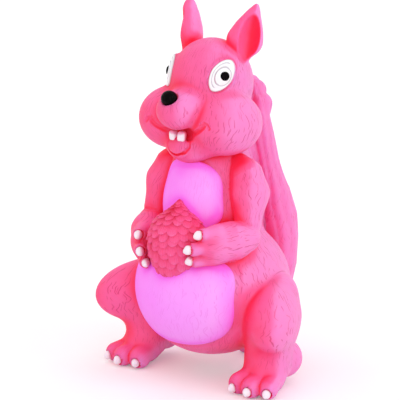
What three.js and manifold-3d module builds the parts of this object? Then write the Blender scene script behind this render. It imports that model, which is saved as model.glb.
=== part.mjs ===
// A squeaky latex dog toy, about 175 mm tall: a squatting squirrel that holds a fir cone in its hands.
// The latex is one hollow skin, built here region by region, and a plastic squeaker is pressed into its rump.
// Millimetres, +Z up. The toy faces -Y and +X is its own left. It stands on its two feet and its tail.
import * as THREE from "three";
import { mergeVertices } from "three/addons/utils/BufferGeometryUtils.js";
import Module from "manifold-3d";

const wasm = await Module();
wasm.setup();

const LEFT = 1;
const RIGHT = -1;
const SIDES = { left: LEFT, right: RIGHT };
const HALF_TURN = Math.PI;
const QUARTER_TURN = Math.PI / 2;
const FULL_TURN = 2 * Math.PI;
const vec = (x = 0, y = 0, z = 0) => new THREE.Vector3(x, y, z);
const radians = THREE.MathUtils.degToRad;

// The latex: its wall, and the fine seam between two regions or between a region and what is seated on it.
const latex = { wall: 2.2, seam: 0.3, paint: 0.6 };
// What every cut runs past the solid that it cuts.
const OVERRUN = 5;

// Sizes of each region. softness is how widely its swellings run together.
const body = { lift: 10, height: 102, halfWidth: 36, halfDepth: 37, softness: 8 };
const head = { rise: 15, forward: 6, halfWidth: 30, halfDepth: 30, halfHeight: 29, softness: 5, snoutSoftness: 2.5 };
const ear = { length: 27.5, halfWidth: 9, halfThickness: 4.6, scoopDepth: 5.4, lean: 11, turn: 15, softness: 2.4 };
const eye = { halfWidth: 5.6, halfHeight: 8.8, halfThickness: 2.5, sink: 1.2, turn: 42, lean: 34, pitch: 14 };
const pupil = { radius: 2.15 };
const nose = { radius: 3.7 };
const mouth = { creaseRadius: 1.05, halfWidth: 7, halfHeight: 4, depth: 2 };
const tooth = { halfWidth: 1.9, halfDepth: 1.8, halfHeight: 2.4, apart: 4.7, turn: 20, lean: 6 };
const arm = { shoulderRadius: 7, upperRadius: 8.4, elbowRadius: 6.5, forearmRadius: 8.2, wristRadius: 7.2, softness: 3 };
// The left hand holds the cone a little higher than the right one.
const hand = { palmRadius: 7.6, fingerRadius: 3.1, lift: { left: 3, right: -2 } };
const thigh = { halfLength: 27.5, halfWidth: 13, halfHeight: 15.5, turn: 37, dip: 4, softness: 6 };
const shin = { radius: 10.8 };
const foot = { heelRadius: 9.5, archRadius: 8.2, toeRadius: 4.9, toeLength: 11.4, softness: 4 };
const tail = { height: 141, halfWidth: 18.6, reach: 40, tuftRadius: 7.6, softness: 4.5 };
const cone = { length: 0.436 * body.height, radius: 14, lean: 1, scaleHeight: 0.8 };
const claw = { halfLength: 2.5, halfWidth: 1.95, halfHeight: 2.15 };
const squeaker = {
  boreRadius: 3.6,
  airHoleRadius: 1.8,
  barrelRadius: 5.6,
  barrelLength: 9,
  neckRadius: 7.4,
  collar: 3,
  flangeRadius: 10,
  flangeThickness: 1.3,
  snapRadius: 8.8,
  snapThickness: 1.8,
  sunk: 1.2,
};
const reed = { width: 3.4, thickness: 0.25, tongueLength: 6.4, clampedLength: 3.2 };
const reedBlock = { length: 10.6, troughWidth: 2, troughDepth: 1.5, endWall: 1.2 };

// How finely each kind of surface is drawn: sides round it, rings along it and rings in each round end.
const fine = {
  body: { sides: 28, rings: 5, caps: 6 },
  head: { sides: 32, rings: 1, caps: 8 },
  limb: { sides: 16, rings: 4, caps: 4 },
  leg: { sides: 18, rings: 4, caps: 5 },
  digit: { sides: 8, rings: 1, caps: 2 },
  tail: { sides: 30, rings: 9, caps: 3 },
  ear: { sides: 16, rings: 6, caps: 3 },
  small: { sides: 12, rings: 1, caps: 3 },
  eye: { sides: 16, rings: 1, caps: 3 },
  oval: { sides: 28, rings: 1, caps: 6 },
  groove: { sides: 6, rings: 8, caps: 2 },
  cone: { sides: 20, rings: 9, caps: 4 },
};
const ROUND_SIDES = 36;

// A frame is an origin with a size along X, Y and Z, and places in it are given as shares of those sizes.
const place = (frame, shares) => vec(...shares).multiply(frame.size).add(frame.origin);
const mirrored = (side, [x, y, z]) => [side * x, y, z];

// Distance fields. Each is a function that gives about how far a point lies outside a shape.

function ball(centre, half, turn = new THREE.Euler()) {
  const unturn = new THREE.Quaternion().setFromEuler(turn).invert();
  const local = vec();
  return (point) => {
    local.copy(point).sub(centre).applyQuaternion(unturn).divide(half);
    const reach = local.length();
    const slope = local.divide(half).length();
    return slope > 0 ? (reach * (reach - 1)) / slope : -Math.min(half.x, half.y, half.z);
  };
}

function rod(from, to, fromRadius, toRadius) {
  const along = vec().subVectors(to, from);
  const offset = vec();
  return (point) => {
    offset.subVectors(point, from);
    const share = THREE.MathUtils.clamp(offset.dot(along) / along.lengthSq(), 0, 1);
    return offset.addScaledVector(along, -share).length() - THREE.MathUtils.lerp(fromRadius, toRadius, share);
  };
}

// A ball that is squarer the larger its roundness is, and narrows upwards by its taper.
function pillow(centre, half, roundness, taper) {
  const local = vec();
  return (point) => {
    local.copy(point).sub(centre).divide(half);
    local.x /= 1 - taper * local.z;
    const sum = local.toArray().reduce((total, value) => total + Math.abs(value) ** roundness, 0);
    return (sum ** (1 / roundness) - 1) * Math.min(half.x, half.y, half.z);
  };
}

// A chain of rods through points, with a radius at each point.
function chain(points, radii) {
  const links = points.slice(1).map((point, i) => rod(points[i], point, radii[i], radii[i + 1]));
  return (point) => Math.min(...links.map((link) => link(point)));
}

// The fields run together with a soft fillet between them.
function blend(softness, fields) {
  const soften = (a, b) => {
    const overlap = Math.max(softness - Math.abs(a - b), 0);
    return Math.min(a, b) - (overlap * overlap) / (4 * softness);
  };
  return (point) => fields.map((field) => field(point)).reduce(soften);
}

// A form is a field with the spine that its surface is drawn round.
// side is the direction that each ring starts from, and relief is what each point of it stands out.
const flat = () => 0;
const form = (field, spine, detail, side = vec(1, 0, 0), relief = flat) => ({ field, spine, detail, side, relief });

// Where a ray from origin meets the field's surface, grown by grow, seen from outside.
function surfacePoint(field, origin, direction, grow, reach) {
  const at = (distance) => vec().copy(origin).addScaledVector(direction, distance);
  const LEAST = 0.05;
  const STEPS = 18;
  let outer = reach;
  let inner = reach;
  while (inner > LEAST && field(at(inner)) > grow) {
    outer = inner;
    inner -= Math.max(LEAST * 4, 0.6 * (field(at(inner)) - grow));
  }
  if (inner <= LEAST) return at(LEAST);
  for (let i = 0; i < STEPS; i++) {
    const middle = (inner + outer) / 2;
    if (field(at(middle)) > grow) outer = middle;
    else inner = middle;
  }
  return at(outer);
}

// The rows of a wrapped surface: where each row's rays start, the way along the spine, and how far they tilt to it.
function rowsOf({ spine, detail }) {
  const curve = spine.length > 1 ? new THREE.CatmullRomCurve3(spine) : null;
  const start = curve ? curve.getPointAt(0) : spine[0];
  const end = curve ? curve.getPointAt(1) : spine[0];
  const startAlong = curve ? curve.getTangentAt(0) : vec(0, 0, 1);
  const endAlong = curve ? curve.getTangentAt(1) : vec(0, 0, 1);
  const rows = [];
  for (let i = 1; i <= detail.caps; i++)
    rows.push({ origin: start, along: startAlong, tilt: -QUARTER_TURN * (1 - i / detail.caps) });
  for (let i = 1; curve && i < detail.rings; i++)
    rows.push({ origin: curve.getPointAt(i / detail.rings), along: curve.getTangentAt(i / detail.rings), tilt: 0 });
  for (let i = curve ? 0 : 1; i < detail.caps; i++)
    rows.push({ origin: end, along: endAlong, tilt: (QUARTER_TURN * i) / detail.caps });
  return { rows, start, end, startAlong, endAlong };
}

// A closed surface wrapped round the spine where the field is grow.
function wrap({ field, spine, detail, side, relief }, grow = 0) {
  const { rows, start, end, startAlong, endAlong } = rowsOf({ spine, detail });
  const reach = wrapReach;
  const points = [surfacePoint(field, start, vec().copy(startAlong).negate(), grow, reach)];
  for (const [row, { origin, along, tilt }] of rows.entries()) {
    const u = vec().copy(side).addScaledVector(along, -side.dot(along)).normalize();
    const w = vec().crossVectors(along, u);
    for (let k = 0; k < detail.sides; k++) {
      const angle = (FULL_TURN * k) / detail.sides;
      const out = vec().addScaledVector(u, Math.cos(angle)).addScaledVector(w, Math.sin(angle));
      out.multiplyScalar(Math.cos(tilt)).addScaledVector(along, Math.sin(tilt));
      points.push(surfacePoint(field, origin, out, grow + relief(row, k), reach));
    }
  }
  points.push(surfacePoint(field, end, endAlong, grow, reach));
  return closedRings(points, detail.sides);
}

// Triangles over a start pole, rings of points and an end pole. The diagonals alternate like a lattice.
function closedRings(points, sides) {
  const ringCount = (points.length - 2) / sides;
  const last = points.length - 1;
  const at = (ring, k) => 1 + ring * sides + (k % sides);
  const index = [];
  for (let k = 0; k < sides; k++) {
    index.push(0, at(0, k + 1), at(0, k));
    for (let ring = 1; ring < ringCount; ring++) {
      const [a, b, c, d] = [at(ring - 1, k), at(ring - 1, k + 1), at(ring, k + 1), at(ring, k)];
      if ((ring + k) % 2 === 0) index.push(a, b, c, a, c, d);
      else index.push(a, b, d, b, c, d);
    }
    index.push(last, at(ringCount - 1, k), at(ringCount - 1, k + 1));
  }
  return new THREE.BufferGeometry().setFromPoints(points).setIndex(index);
}

// The inside of a wall is drawn more coarsely than its outside.
function coarser({ field, spine, detail, side, relief }) {
  const half = (count) => Math.max(2, Math.ceil(count / 2));
  const coarse = { sides: half(detail.sides), rings: half(detail.rings), caps: half(detail.caps) };
  return form(field, spine, coarse, side, relief);
}

// Solids, for cutting and joining.

function solidOf(geometry) {
  const bare = geometry.clone();
  bare.deleteAttribute("normal");
  bare.deleteAttribute("uv");
  const merged = mergeVertices(bare);
  return new wasm.Manifold(
    new wasm.Mesh({
      numProp: 3,
      vertProperties: merged.attributes.position.array,
      triVerts: new Uint32Array(merged.index.array),
    }),
  );
}

const joined = (solids) => solids.reduce((all, solid) => all.add(solid));
const cut = (solid, cutters) => cutters.reduce((left, cutter) => left.subtract(cutter), solid);
// A region is a list of forms that are one piece.
const grown = (region, grow) => joined(region.map((one) => solidOf(wrap(one, grow))));
const solid = (region) => grown(region, 0);
const clearOf = (region) => grown(region, latex.seam);
const inside = (region) => grown(region.map(coarser), -latex.wall);
// The largest body of a cut solid, without the crumbs that a cut leaves.
const mainBody = (made) => made.decompose().reduce((most, one) => (one.volume() > most.volume() ? one : most));

function cylinder(radius, bottom, top, centre) {
  const shape = new THREE.CylinderGeometry(radius, radius, top - bottom, ROUND_SIDES).rotateX(QUARTER_TURN);
  return shape.translate(centre.x, centre.y, (bottom + top) / 2);
}

const box = (low, high) => {
  const size = vec().subVectors(high, low);
  const centre = vec().addVectors(low, high).multiplyScalar(0.5);
  return new THREE.BoxGeometry(size.x, size.y, size.z).translate(centre.x, centre.y, centre.z);
};

// Where the regions are. Each is worked out from the one that carries it.

const bodyFrame = { origin: vec(0, 0, body.lift), size: vec(body.halfWidth, body.halfDepth, body.height) };
const bodyTop = body.lift + body.height;
const headFrame = {
  origin: vec(0, -head.forward, bodyTop + head.rise),
  size: vec(head.halfWidth, head.halfDepth, head.halfHeight),
};
const wrapReach = 2 * Math.max(body.height, tail.height, body.halfWidth + thigh.halfLength);

// Half sizes of a ball given as shares of its frame.
const ballIn = (frame, { at, half }, turn) => ball(place(frame, at), vec(...half).multiply(frame.size), turn);

// Torso: a pear, with its belly, chest and neck as swellings.
const bodyShares = {
  belly: { at: [0, -0.05, 0.32], half: [1, 1, 0.322] },
  chest: { at: [0, -0.07, 0.7], half: [0.62, 0.63, 0.29] },
  neck: { at: [0, -0.1, 0.92], half: [0.44, 0.44, 0.16] },
};
const torso = [
  form(
    blend(body.softness, Object.values(bodyShares).map((shares) => ballIn(bodyFrame, shares))),
    [place(bodyFrame, [0, -0.05, 0.33]), place(bodyFrame, [0, -0.08, 0.9])],
    fine.body,
  ),
];

// Head: a cranium with cheeks, snout and jaw.
const headShares = {
  cranium: { at: [0, 0.08, 0.38], half: [0.635, 0.66, 0.72] },
  brow: { at: [0, -0.14, 0.25], half: [0.36, 0.42, 0.42] },
  jaw: { at: [0, -0.36, -0.53], half: [0.4, 0.43, 0.3] },
  cheek: { at: [0.49, -0.2, -0.17], half: [0.55, 0.57, 0.505] },
  snout: { at: [0, -0.62, 0.05], half: [0.36, 0.45, 0.325] },
};
const headBalls = ["cranium", "brow", "jaw"].map((name) => ballIn(headFrame, headShares[name]));
const cheeks = [LEFT, RIGHT].map((side) => {
  const { at, half } = headShares.cheek;
  return ballIn(headFrame, { at: mirrored(side, at), half });
});
const snout = ballIn(headFrame, headShares.snout);
const skullField = blend(head.snoutSoftness, [blend(head.softness, [...headBalls, ...cheeks]), snout]);
const headCentre = place(headFrame, [0, -0.1, -0.05]);
const skull = [form(skullField, [headCentre], fine.head)];

// The place on the face that lies straight out from the head's centre through a place in its frame.
function onFace(shares) {
  const out = place(headFrame, shares).sub(headCentre).normalize();
  return surfacePoint(skullField, headCentre, out, 0, wrapReach);
}

// The smile: a crease from each cheek to the teeth under the snout, with the mouth open below it.
const smileShares = [
  [0.55, -0.765, -0.125],
  [0.5, -0.766, -0.155],
  [0.42, -0.76, -0.215],
  [0.3, -0.715, -0.275],
  [0.18, -0.7, -0.315],
];
const smileMiddle = onFace([0, -0.84, -0.27]);
const gape = onFace([0, -0.8, -0.37]);
const creaseForm = (points) =>
  form(chain(points, points.map(() => mouth.creaseRadius)), points, fine.groove, vec(0, 0, 1));
const smile = [
  form(ball(gape, vec(mouth.halfWidth, mouth.depth, mouth.halfHeight)), [gape], fine.small),
  ...[LEFT, RIGHT].map((side) => creaseForm(smileShares.map((shares) => onFace(mirrored(side, shares))))),
];

// Ears: leaf shaped, scooped out in front, leaning outwards.
function earForms(side) {
  const root = place(headFrame, mirrored(side, [0.44, 0.26, 0.73]));
  const turn = new THREE.Euler(0, radians(side * ear.lean), radians(side * ear.turn), "ZYX");
  const inEar = (shares) => {
    const size = vec(ear.halfWidth, ear.halfThickness, ear.length);
    return vec(...shares).multiply(size).applyEuler(turn).add(root);
  };
  const leafShares = [
    { at: [side * -0.16, 0, 0.12], width: 0.52, rise: 0.26 },
    { at: [side * -0.06, 0, 0.36], width: 0.96, rise: 0.28 },
    { at: [side * 0.02, 0, 0.55], width: 0.74, rise: 0.24 },
    { at: [side * 0.1, 0, 0.73], width: 0.44, rise: 0.18 },
    { at: [side * 0.2, 0, 0.89], width: 0.18, rise: 0.1 },
  ];
  const blades = leafShares.map(({ at, width, rise }) => {
    const half = vec(ear.halfWidth * width, ear.halfThickness * Math.sqrt(width), ear.length * rise);
    return ball(inEar(at), half, turn);
  });
  const leafSpine = [inEar([side * -0.1, 0, 0.12]), inEar([side * 0.18, 0, 0.86])];
  const scoopShares = { at: [side * 0.1, -1, 0.41], half: [0.56, 1, 0.43] };
  const scoopHalf = vec(ear.halfWidth, ear.scoopDepth, ear.length).multiply(vec(...scoopShares.half));
  return {
    leaf: [form(blend(ear.softness, blades), leafSpine, fine.ear)],
    scoop: [form(ball(inEar(scoopShares.at), scoopHalf, turn), [inEar(scoopShares.at)], fine.small)],
  };
}

// Eyes: a white that bulges from its socket in the face, with a round pupil on it.
function eyeForms(side) {
  const turn = new THREE.Euler(radians(-eye.pitch), radians(side * eye.lean), radians(side * eye.turn), "ZXY");
  const inEye = (x, y, z) => vec(x, y, z).applyEuler(turn).add(onFace(mirrored(side, [0.5, -0.3, 0.6])));
  const centre = inEye(0, eye.sink, 0);
  const white = ball(centre, vec(eye.halfWidth, eye.halfThickness, eye.halfHeight), turn);
  const pupilCentre = inEye(side * pupil.radius * 0.58, eye.sink - eye.halfThickness, pupil.radius * 0.18);
  const pupilBall = ball(pupilCentre, vec(pupil.radius, pupil.radius * 0.35, pupil.radius), turn);
  return {
    white: [form(white, [centre], fine.eye)],
    pupil: [form(pupilBall, [pupilCentre], fine.small)],
  };
}

const noseCentre = vec(0, nose.radius * 0.2, 0).add(onFace([0, -0.9, 0.24]));
const noseBall = [form(ball(noseCentre, vec(1, 1, 1).multiplyScalar(nose.radius)), [noseCentre], fine.small)];

function toothForms(side) {
  const centre = vec((side * tooth.apart) / 2, tooth.halfDepth * 0.78, -tooth.halfHeight * 1.15).add(smileMiddle);
  const half = vec(tooth.halfWidth, tooth.halfDepth, tooth.halfHeight);
  const turn = new THREE.Euler(0, radians(side * tooth.lean), radians(side * tooth.turn), "ZYX");
  return [form(ball(centre, half, turn), [centre], fine.small)];
}

// The cone leans back against the belly, and the hands hold it on both sides.
const coneCentre = place(bodyFrame, [0, -0.77, 0.541]);
const coneTurn = new THREE.Euler(radians(-cone.lean), 0, 0);
const inCone = (x, y, z) => vec(x, y, z).applyEuler(coneTurn).add(coneCentre);
const coneProfileShares = [
  { at: -0.45, radius: 0.13 },
  { at: -0.34, radius: 0.42 },
  { at: -0.2, radius: 0.72 },
  { at: -0.04, radius: 0.93 },
  { at: 0.11, radius: 1 },
  { at: 0.25, radius: 0.74 },
  { at: 0.37, radius: 0.32 },
  { at: 0.46, radius: 0.09 },
];
const coneBalls = coneProfileShares.map(({ at, radius }) => {
  const ballRadius = cone.radius * radius;
  return ball(inCone(0, 0, at * cone.length), vec(ballRadius, ballRadius, ballRadius * 0.8), coneTurn);
});
const coneSpine = [inCone(0, 0, -0.3 * cone.length), inCone(0, 0, 0.3 * cone.length)];
// Every other point of a ring stands out, and those of the next ring lie between them, which draws the scales.
const scaleRelief = (row, k) => ((row + k) % 2 === 0 ? cone.scaleHeight : 0);
const coneField = blend(cone.radius / 3, coneBalls);
const coneRegion = [form(coneField, coneSpine, fine.cone, vec(1, 0, 0), scaleRelief)];

// Arms: each hangs from the shoulder to the elbow, then reaches forward to the cone.
// Fingers, from the top one down: where each starts and ends, in shares of the palm's radius.
const fingerShares = [
  { knuckle: [-0.05, -0.5, 0.72], tip: [-0.42, -1.25, 0.66] },
  { knuckle: [-0.2, -0.75, -0.05], tip: [-0.84, -1.66, -0.2] },
  { knuckle: [-0.3, -0.55, -0.85], tip: [-0.97, -1.32, -0.96] },
];

// The places of an arm's joints in shares of the body, and the elbow's upper end in shares of the elbow's radius.
const armShares = {
  neck: [0.5, -0.15, 0.917],
  shoulder: [0.605, -0.155, 0.866],
  middle: [0.69, -0.19, 0.789],
  elbow: [0.775, -0.36, 0.6],
};

const aboveElbowShares = [-0.16, 0.4, 1];

function armForms(side, lift) {
  const inBody = (name) => place(bodyFrame, mirrored(side, armShares[name]));
  const [neck, shoulder, middle, elbow] = ["neck", "shoulder", "middle", "elbow"].map(inBody);
  const aboveElbow = vec(...mirrored(side, aboveElbowShares)).multiplyScalar(arm.elbowRadius).add(elbow);
  const palm = vec(0, 0, lift).add(inCone(side * cone.radius * 1.57, cone.radius * 0.335, hand.palmRadius * 0.23));
  const forearmMiddle = vec().copy(elbow).lerp(palm, 0.5);
  const upper = blend(arm.softness, [
    chain([neck, shoulder], [arm.shoulderRadius * 0.6, arm.shoulderRadius]),
    chain([middle, aboveElbow], [arm.upperRadius, arm.elbowRadius * 0.95]),
    chain([shoulder, middle], [arm.shoulderRadius, arm.upperRadius]),
  ]);
  const lower = blend(arm.softness, [
    chain([elbow, forearmMiddle], [arm.elbowRadius, arm.forearmRadius]),
    chain([forearmMiddle, palm], [arm.forearmRadius, arm.wristRadius]),
    ball(palm, vec(0.85, 1, 1.15).multiplyScalar(hand.palmRadius)),
  ]);
  const inHand = (shares) => vec(...mirrored(side, shares)).multiplyScalar(hand.palmRadius).add(palm);
  const fingers = fingerShares.map((shares) => {
    const knuckle = inHand(shares.knuckle);
    const tip = inHand(shares.tip);
    return { knuckle, tip, reach: vec().subVectors(tip, knuckle).normalize(), radius: hand.fingerRadius, rise: 0.1 };
  });
  return {
    upper: [form(upper, [neck, shoulder, middle, aboveElbow], fine.limb)],
    lower: [form(lower, [elbow, forearmMiddle, palm], fine.limb, vec(0, 0, 1)), ...fingers.map(digitForm)],
    tips: fingers,
  };
}

// A finger or toe: a rod from its knuckle to its tip.
function digitForm({ knuckle, tip, radius }) {
  return form(chain([knuckle, tip], [radius, radius]), [knuckle, tip], fine.digit, vec(0, 0, 1));
}

// Legs: a thigh from the hip forward and outward to the knee, a shin under it and a flat foot with three toes.
function legForms(side) {
  const middle = place(bodyFrame, mirrored(side, [0.995, -0.125, 0.24]));
  const turn = new THREE.Euler(radians(thigh.dip), 0, radians(side * thigh.turn), "ZYX");
  const rump = vec(0, 0.7 * thigh.halfLength, 0).applyEuler(turn).add(middle);
  const knee = vec(0, -0.6 * thigh.halfLength, 0).applyEuler(turn).add(middle);
  const ankle = vec(middle.x, middle.y - shin.radius * 0.25, foot.heelRadius);
  const shinEnd = vec(0, 0, foot.heelRadius * 0.3).add(ankle);
  const hip = vec(side * -0.2, 0.5, 0.6).multiplyScalar(thigh.halfHeight).add(middle);
  const leg = blend(thigh.softness, [
    ball(middle, vec(thigh.halfWidth, thigh.halfLength, thigh.halfHeight), turn),
    rod(middle, shinEnd, shin.radius * 1.08, shin.radius),
    ball(hip, vec(1, 1, 1).multiplyScalar(thigh.halfHeight * 0.58)),
  ]);
  const heel = vec(0, 1.2, 0.24).multiplyScalar(foot.heelRadius).add(ankle);
  const arch = vec(ankle.x + side * foot.archRadius * 0.18, ankle.y - 0.5 * foot.archRadius, foot.archRadius * 0.75);
  const sole = blend(foot.softness, [
    ball(heel, vec(1, 1, 0.98).multiplyScalar(foot.heelRadius)),
    ball(arch, vec(1.15, 1.05, 0.98).multiplyScalar(foot.archRadius)),
  ]);
  const toes = [-1, 0, 1].map((row) => {
    const knuckle = vec(row * foot.toeRadius * 0.92, 0, foot.archRadius * 0.12).add(arch);
    const reach = vec(row * 0.36 + side * 0.09, -1, 0).normalize();
    const lengthShare = row === 0 ? 1 : 0.85;
    const tip = vec().copy(reach).multiplyScalar(foot.toeLength * lengthShare).add(knuckle);
    tip.z = foot.toeRadius * 0.95;
    return { knuckle, tip, reach, radius: foot.toeRadius * (1 - 0.07 * row * side), rise: -0.05 };
  });
  return {
    leg: [form(leg, [rump, middle, knee], fine.leg, vec(0, 0, 1))],
    foot: [form(sole, [heel, arch], fine.limb, vec(0, 0, 1)), ...toes.map(digitForm)],
    tips: toes,
  };
}

// A claw caps the end of a finger or toe, raised from its middle by a share of its radius.
function clawForms({ tip, reach, radius, rise }) {
  const centre = vec().copy(reach).multiplyScalar(radius * 0.8).add(tip);
  centre.z += radius * rise;
  const half = vec(claw.halfWidth, claw.halfLength, claw.halfHeight);
  return [form(ball(centre, half), [centre], fine.small)];
}

// Tail: five tufts from the floor up the back to behind the head, where their ends curl out, between two side tufts.
const middleTuftShares = [
  { reach: 0.86, spread: 0.42, height: 0.03, thickness: 0.66 },
  { reach: 0.93, spread: 0.62, height: 0.21, thickness: 0.78 },
  { reach: 1, spread: 0.72, height: 0.42, thickness: 0.88 },
  { reach: 0.92, spread: 0.7, height: 0.6, thickness: 0.82 },
  { reach: 0.8, spread: 0.68, height: 0.7, thickness: 0.75 },
  { reach: 0.6, spread: 0.75, height: 0.88, thickness: 0.7 },
  { reach: 0.64, spread: 0.8, height: 0.948, thickness: 0.66 },
];
const sideTuftShares = [
  { reach: 0.86, spread: 0.45, height: 0.03, thickness: 0.62 },
  { reach: 0.93, spread: 0.84, height: 0.21, thickness: 0.84 },
  { reach: 0.98, spread: 1.02, height: 0.34, thickness: 0.98 },
  { reach: 1, spread: 1.03, height: 0.42, thickness: 1 },
  { reach: 0.99, spread: 0.98, height: 0.5, thickness: 1 },
  { reach: 0.92, spread: 0.9, height: 0.58, thickness: 0.86 },
  { reach: 0.83, spread: 0.8, height: 0.66, thickness: 0.6 },
  { reach: 0.77, spread: 0.72, height: 0.72, thickness: 0.34 },
];
// The ends of the outer tufts hang lower, over these shares of the height.
const curlShares = { from: 0.82, to: 0.948 };
function stationPoint({ reach, spread, height }, across) {
  const drop = THREE.MathUtils.smoothstep(height, curlShares.from, curlShares.to) * across * across;
  return vec(
    across * spread * (tail.halfWidth - tail.tuftRadius),
    tail.reach * reach - tail.tuftRadius * 0.35 * Math.abs(across),
    tail.height * height - tail.tuftRadius * drop,
  );
}
const tuft = (stations, across) =>
  chain(
    stations.map((station) => stationPoint(station, across)),
    stations.map(({ thickness }) => tail.tuftRadius * thickness),
  );
const tufts = [
  ...[-1, -0.5, 0, 0.5, 1].map((across) => tuft(middleTuftShares, across)),
  ...[LEFT, RIGHT].map((side) => tuft(sideTuftShares, side)),
];
// The tail grows out of the back along a web.
const webShares = [
  { at: [0, 0.75, 0.06], radius: 0.2 },
  { at: [0, 0.66, 0.2], radius: 0.29 },
  { at: [0, 0.52, 0.53], radius: 0.29 },
  { at: [0, 0.38, 0.94], radius: 0.22 },
];
const web = chain(
  webShares.map(({ at }) => place(bodyFrame, at)),
  webShares.map(({ radius }) => radius * body.halfWidth),
);
const tailSpine = middleTuftShares.map((station) => stationPoint(station, 0));
const tailRegion = [form(blend(tail.softness, [...tufts, web]), tailSpine, fine.tail)];

// Paint: a thin layer on a region, within an outline.
function paintOn(region, outline) {
  const layer = grown(region, latex.seam + latex.paint).subtract(grown(region, latex.seam));
  return layer.intersect(solid(outline));
}
const patchShares = {
  chest: { at: [0, -0.6, 0.775], half: [0.465, 0.6, 0.155], roundness: 3.1, taper: 0.14 },
  belly: { at: [0, -0.87, 0.31], half: [0.8, 0.8, 0.214], roundness: 2.9, taper: 0 },
};
function patchOutline({ at, half, roundness, taper }) {
  const middle = place(bodyFrame, at);
  return [form(pillow(middle, vec(...half).multiply(bodyFrame.size), roundness, taper), [middle], fine.oval)];
}

// Squeaker: a flanged barrel snapped into a hole in the rump, with a reed pinned between two half rounds.
const squeakerAt = vec(0, bodyShares.belly.at[1] * body.halfDepth, 0);
const levels = (() => {
  const face = body.lift + squeaker.sunk;
  const collarBottom = face + squeaker.flangeThickness + latex.seam;
  const collarTop = collarBottom + squeaker.collar;
  const snapBottom = collarTop + latex.seam;
  const snapTop = snapBottom + squeaker.snapThickness;
  return { face, collarBottom, collarTop, snapBottom, snapTop, top: snapTop + squeaker.barrelLength };
})();
const shoulderLevel = levels.face + squeaker.flangeThickness;

function housing() {
  const { boreRadius, airHoleRadius, barrelRadius, neckRadius, flangeRadius, snapRadius } = squeaker;
  const profile = [
    [airHoleRadius, levels.face],
    [flangeRadius, levels.face],
    [flangeRadius, levels.face + squeaker.flangeThickness],
    [neckRadius, levels.face + squeaker.flangeThickness],
    [neckRadius, levels.snapBottom],
    [snapRadius, levels.snapBottom],
    [barrelRadius, levels.snapTop],
    [barrelRadius, levels.top],
    [boreRadius, levels.top],
    [boreRadius, shoulderLevel],
    [airHoleRadius, shoulderLevel],
    [airHoleRadius, levels.face],
  ];
  const lathe = new THREE.LatheGeometry(profile.map(([r, z]) => new THREE.Vector2(r, z)), ROUND_SIDES);
  return lathe.rotateX(QUARTER_TURN).translate(squeakerAt.x, squeakerAt.y, 0);
}

// The two half rounds that hold the reed, standing in the barrel. facing is the side that it fills.
const unitRadius = squeaker.boreRadius - latex.seam;
const unitBottom = shoulderLevel + latex.seam;
const reedGap = reed.thickness / 2 + latex.seam;
const clampTop = unitBottom + reed.clampedLength + latex.seam;

function halfRound(facing, top) {
  const whole = solidOf(cylinder(unitRadius, unitBottom, top, squeakerAt));
  const far = unitRadius + OVERRUN;
  const nearY = squeakerAt.y + facing * reedGap;
  const farY = squeakerAt.y - facing * far;
  const low = vec(-far, Math.min(nearY, farY), unitBottom - OVERRUN);
  const high = vec(far, Math.max(nearY, farY), top + OVERRUN);
  return whole.subtract(solidOf(box(low, high)));
}

function reedBlockSolid() {
  const top = unitBottom + reedBlock.length;
  const halfTrough = reedBlock.troughWidth / 2;
  const low = vec(-halfTrough, squeakerAt.y - reedGap - reedBlock.troughDepth, unitBottom - OVERRUN);
  const high = vec(halfTrough, squeakerAt.y + OVERRUN, top - reedBlock.endWall);
  return halfRound(RIGHT, top).subtract(solidOf(box(low, high)));
}

const reedLow = vec(-reed.width / 2, squeakerAt.y - reed.thickness / 2, unitBottom);
const reedHigh = vec(
  reed.width / 2,
  squeakerAt.y + reed.thickness / 2,
  clampTop + reed.tongueLength,
);

// Materials, one for each finish.
const finish = (color, roughness) => new THREE.MeshStandardMaterial({ color, roughness, metalness: 0 });
const materials = {
  pinkLatex: finish(0xfb5c9c, 0.55),
  violetLatex: finish(0xf6a0f4, 0.5),
  whitePaint: finish(0xf6eef4, 0.4),
  blackPaint: finish(0x0a0a0c, 0.25),
  squeakerPlastic: finish(0xe9e6de, 0.45),
  reedFilm: finish(0xd8c48a, 0.3),
};

const toy = new THREE.Group();

function addMesh(name, geometry, material) {
  const mesh = new THREE.Mesh(geometry, material);
  mesh.name = name;
  toy.add(mesh);
  return mesh;
}

function addSolid(name, made, material) {
  const { numProp, vertProperties, triVerts, numVert } = mainBody(made).getMesh();
  const positions = new Float32Array(numVert * 3);
  for (let i = 0; i < numVert; i++) positions.set(vertProperties.subarray(i * numProp, i * numProp + 3), 3 * i);
  const geometry = new THREE.BufferGeometry();
  geometry.setAttribute("position", new THREE.BufferAttribute(positions, 3));
  geometry.setIndex(new THREE.BufferAttribute(triVerts, 1));
  return addMesh(name, geometry, material);
}

// What each region is cut by: the floor, the larger regions that it grows out of, and the air space inside.

const arms = Object.fromEntries(Object.entries(SIDES).map(([name, side]) => [name, armForms(side, hand.lift[name])]));
const legs = Object.fromEntries(Object.entries(SIDES).map(([name, side]) => [name, legForms(side)]));
const ears = Object.fromEntries(Object.entries(SIDES).map(([name, side]) => [name, earForms(side)]));
const eyes = Object.fromEntries(Object.entries(SIDES).map(([name, side]) => [name, eyeForms(side)]));

const wide = wrapReach;
const floor = solidOf(box(vec(-wide, -wide, -wide), vec(wide, wide, 0)));
const pad = solidOf(
  cylinder(squeaker.flangeRadius + latex.wall, body.lift - OVERRUN, levels.collarTop, squeakerAt),
);
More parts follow.
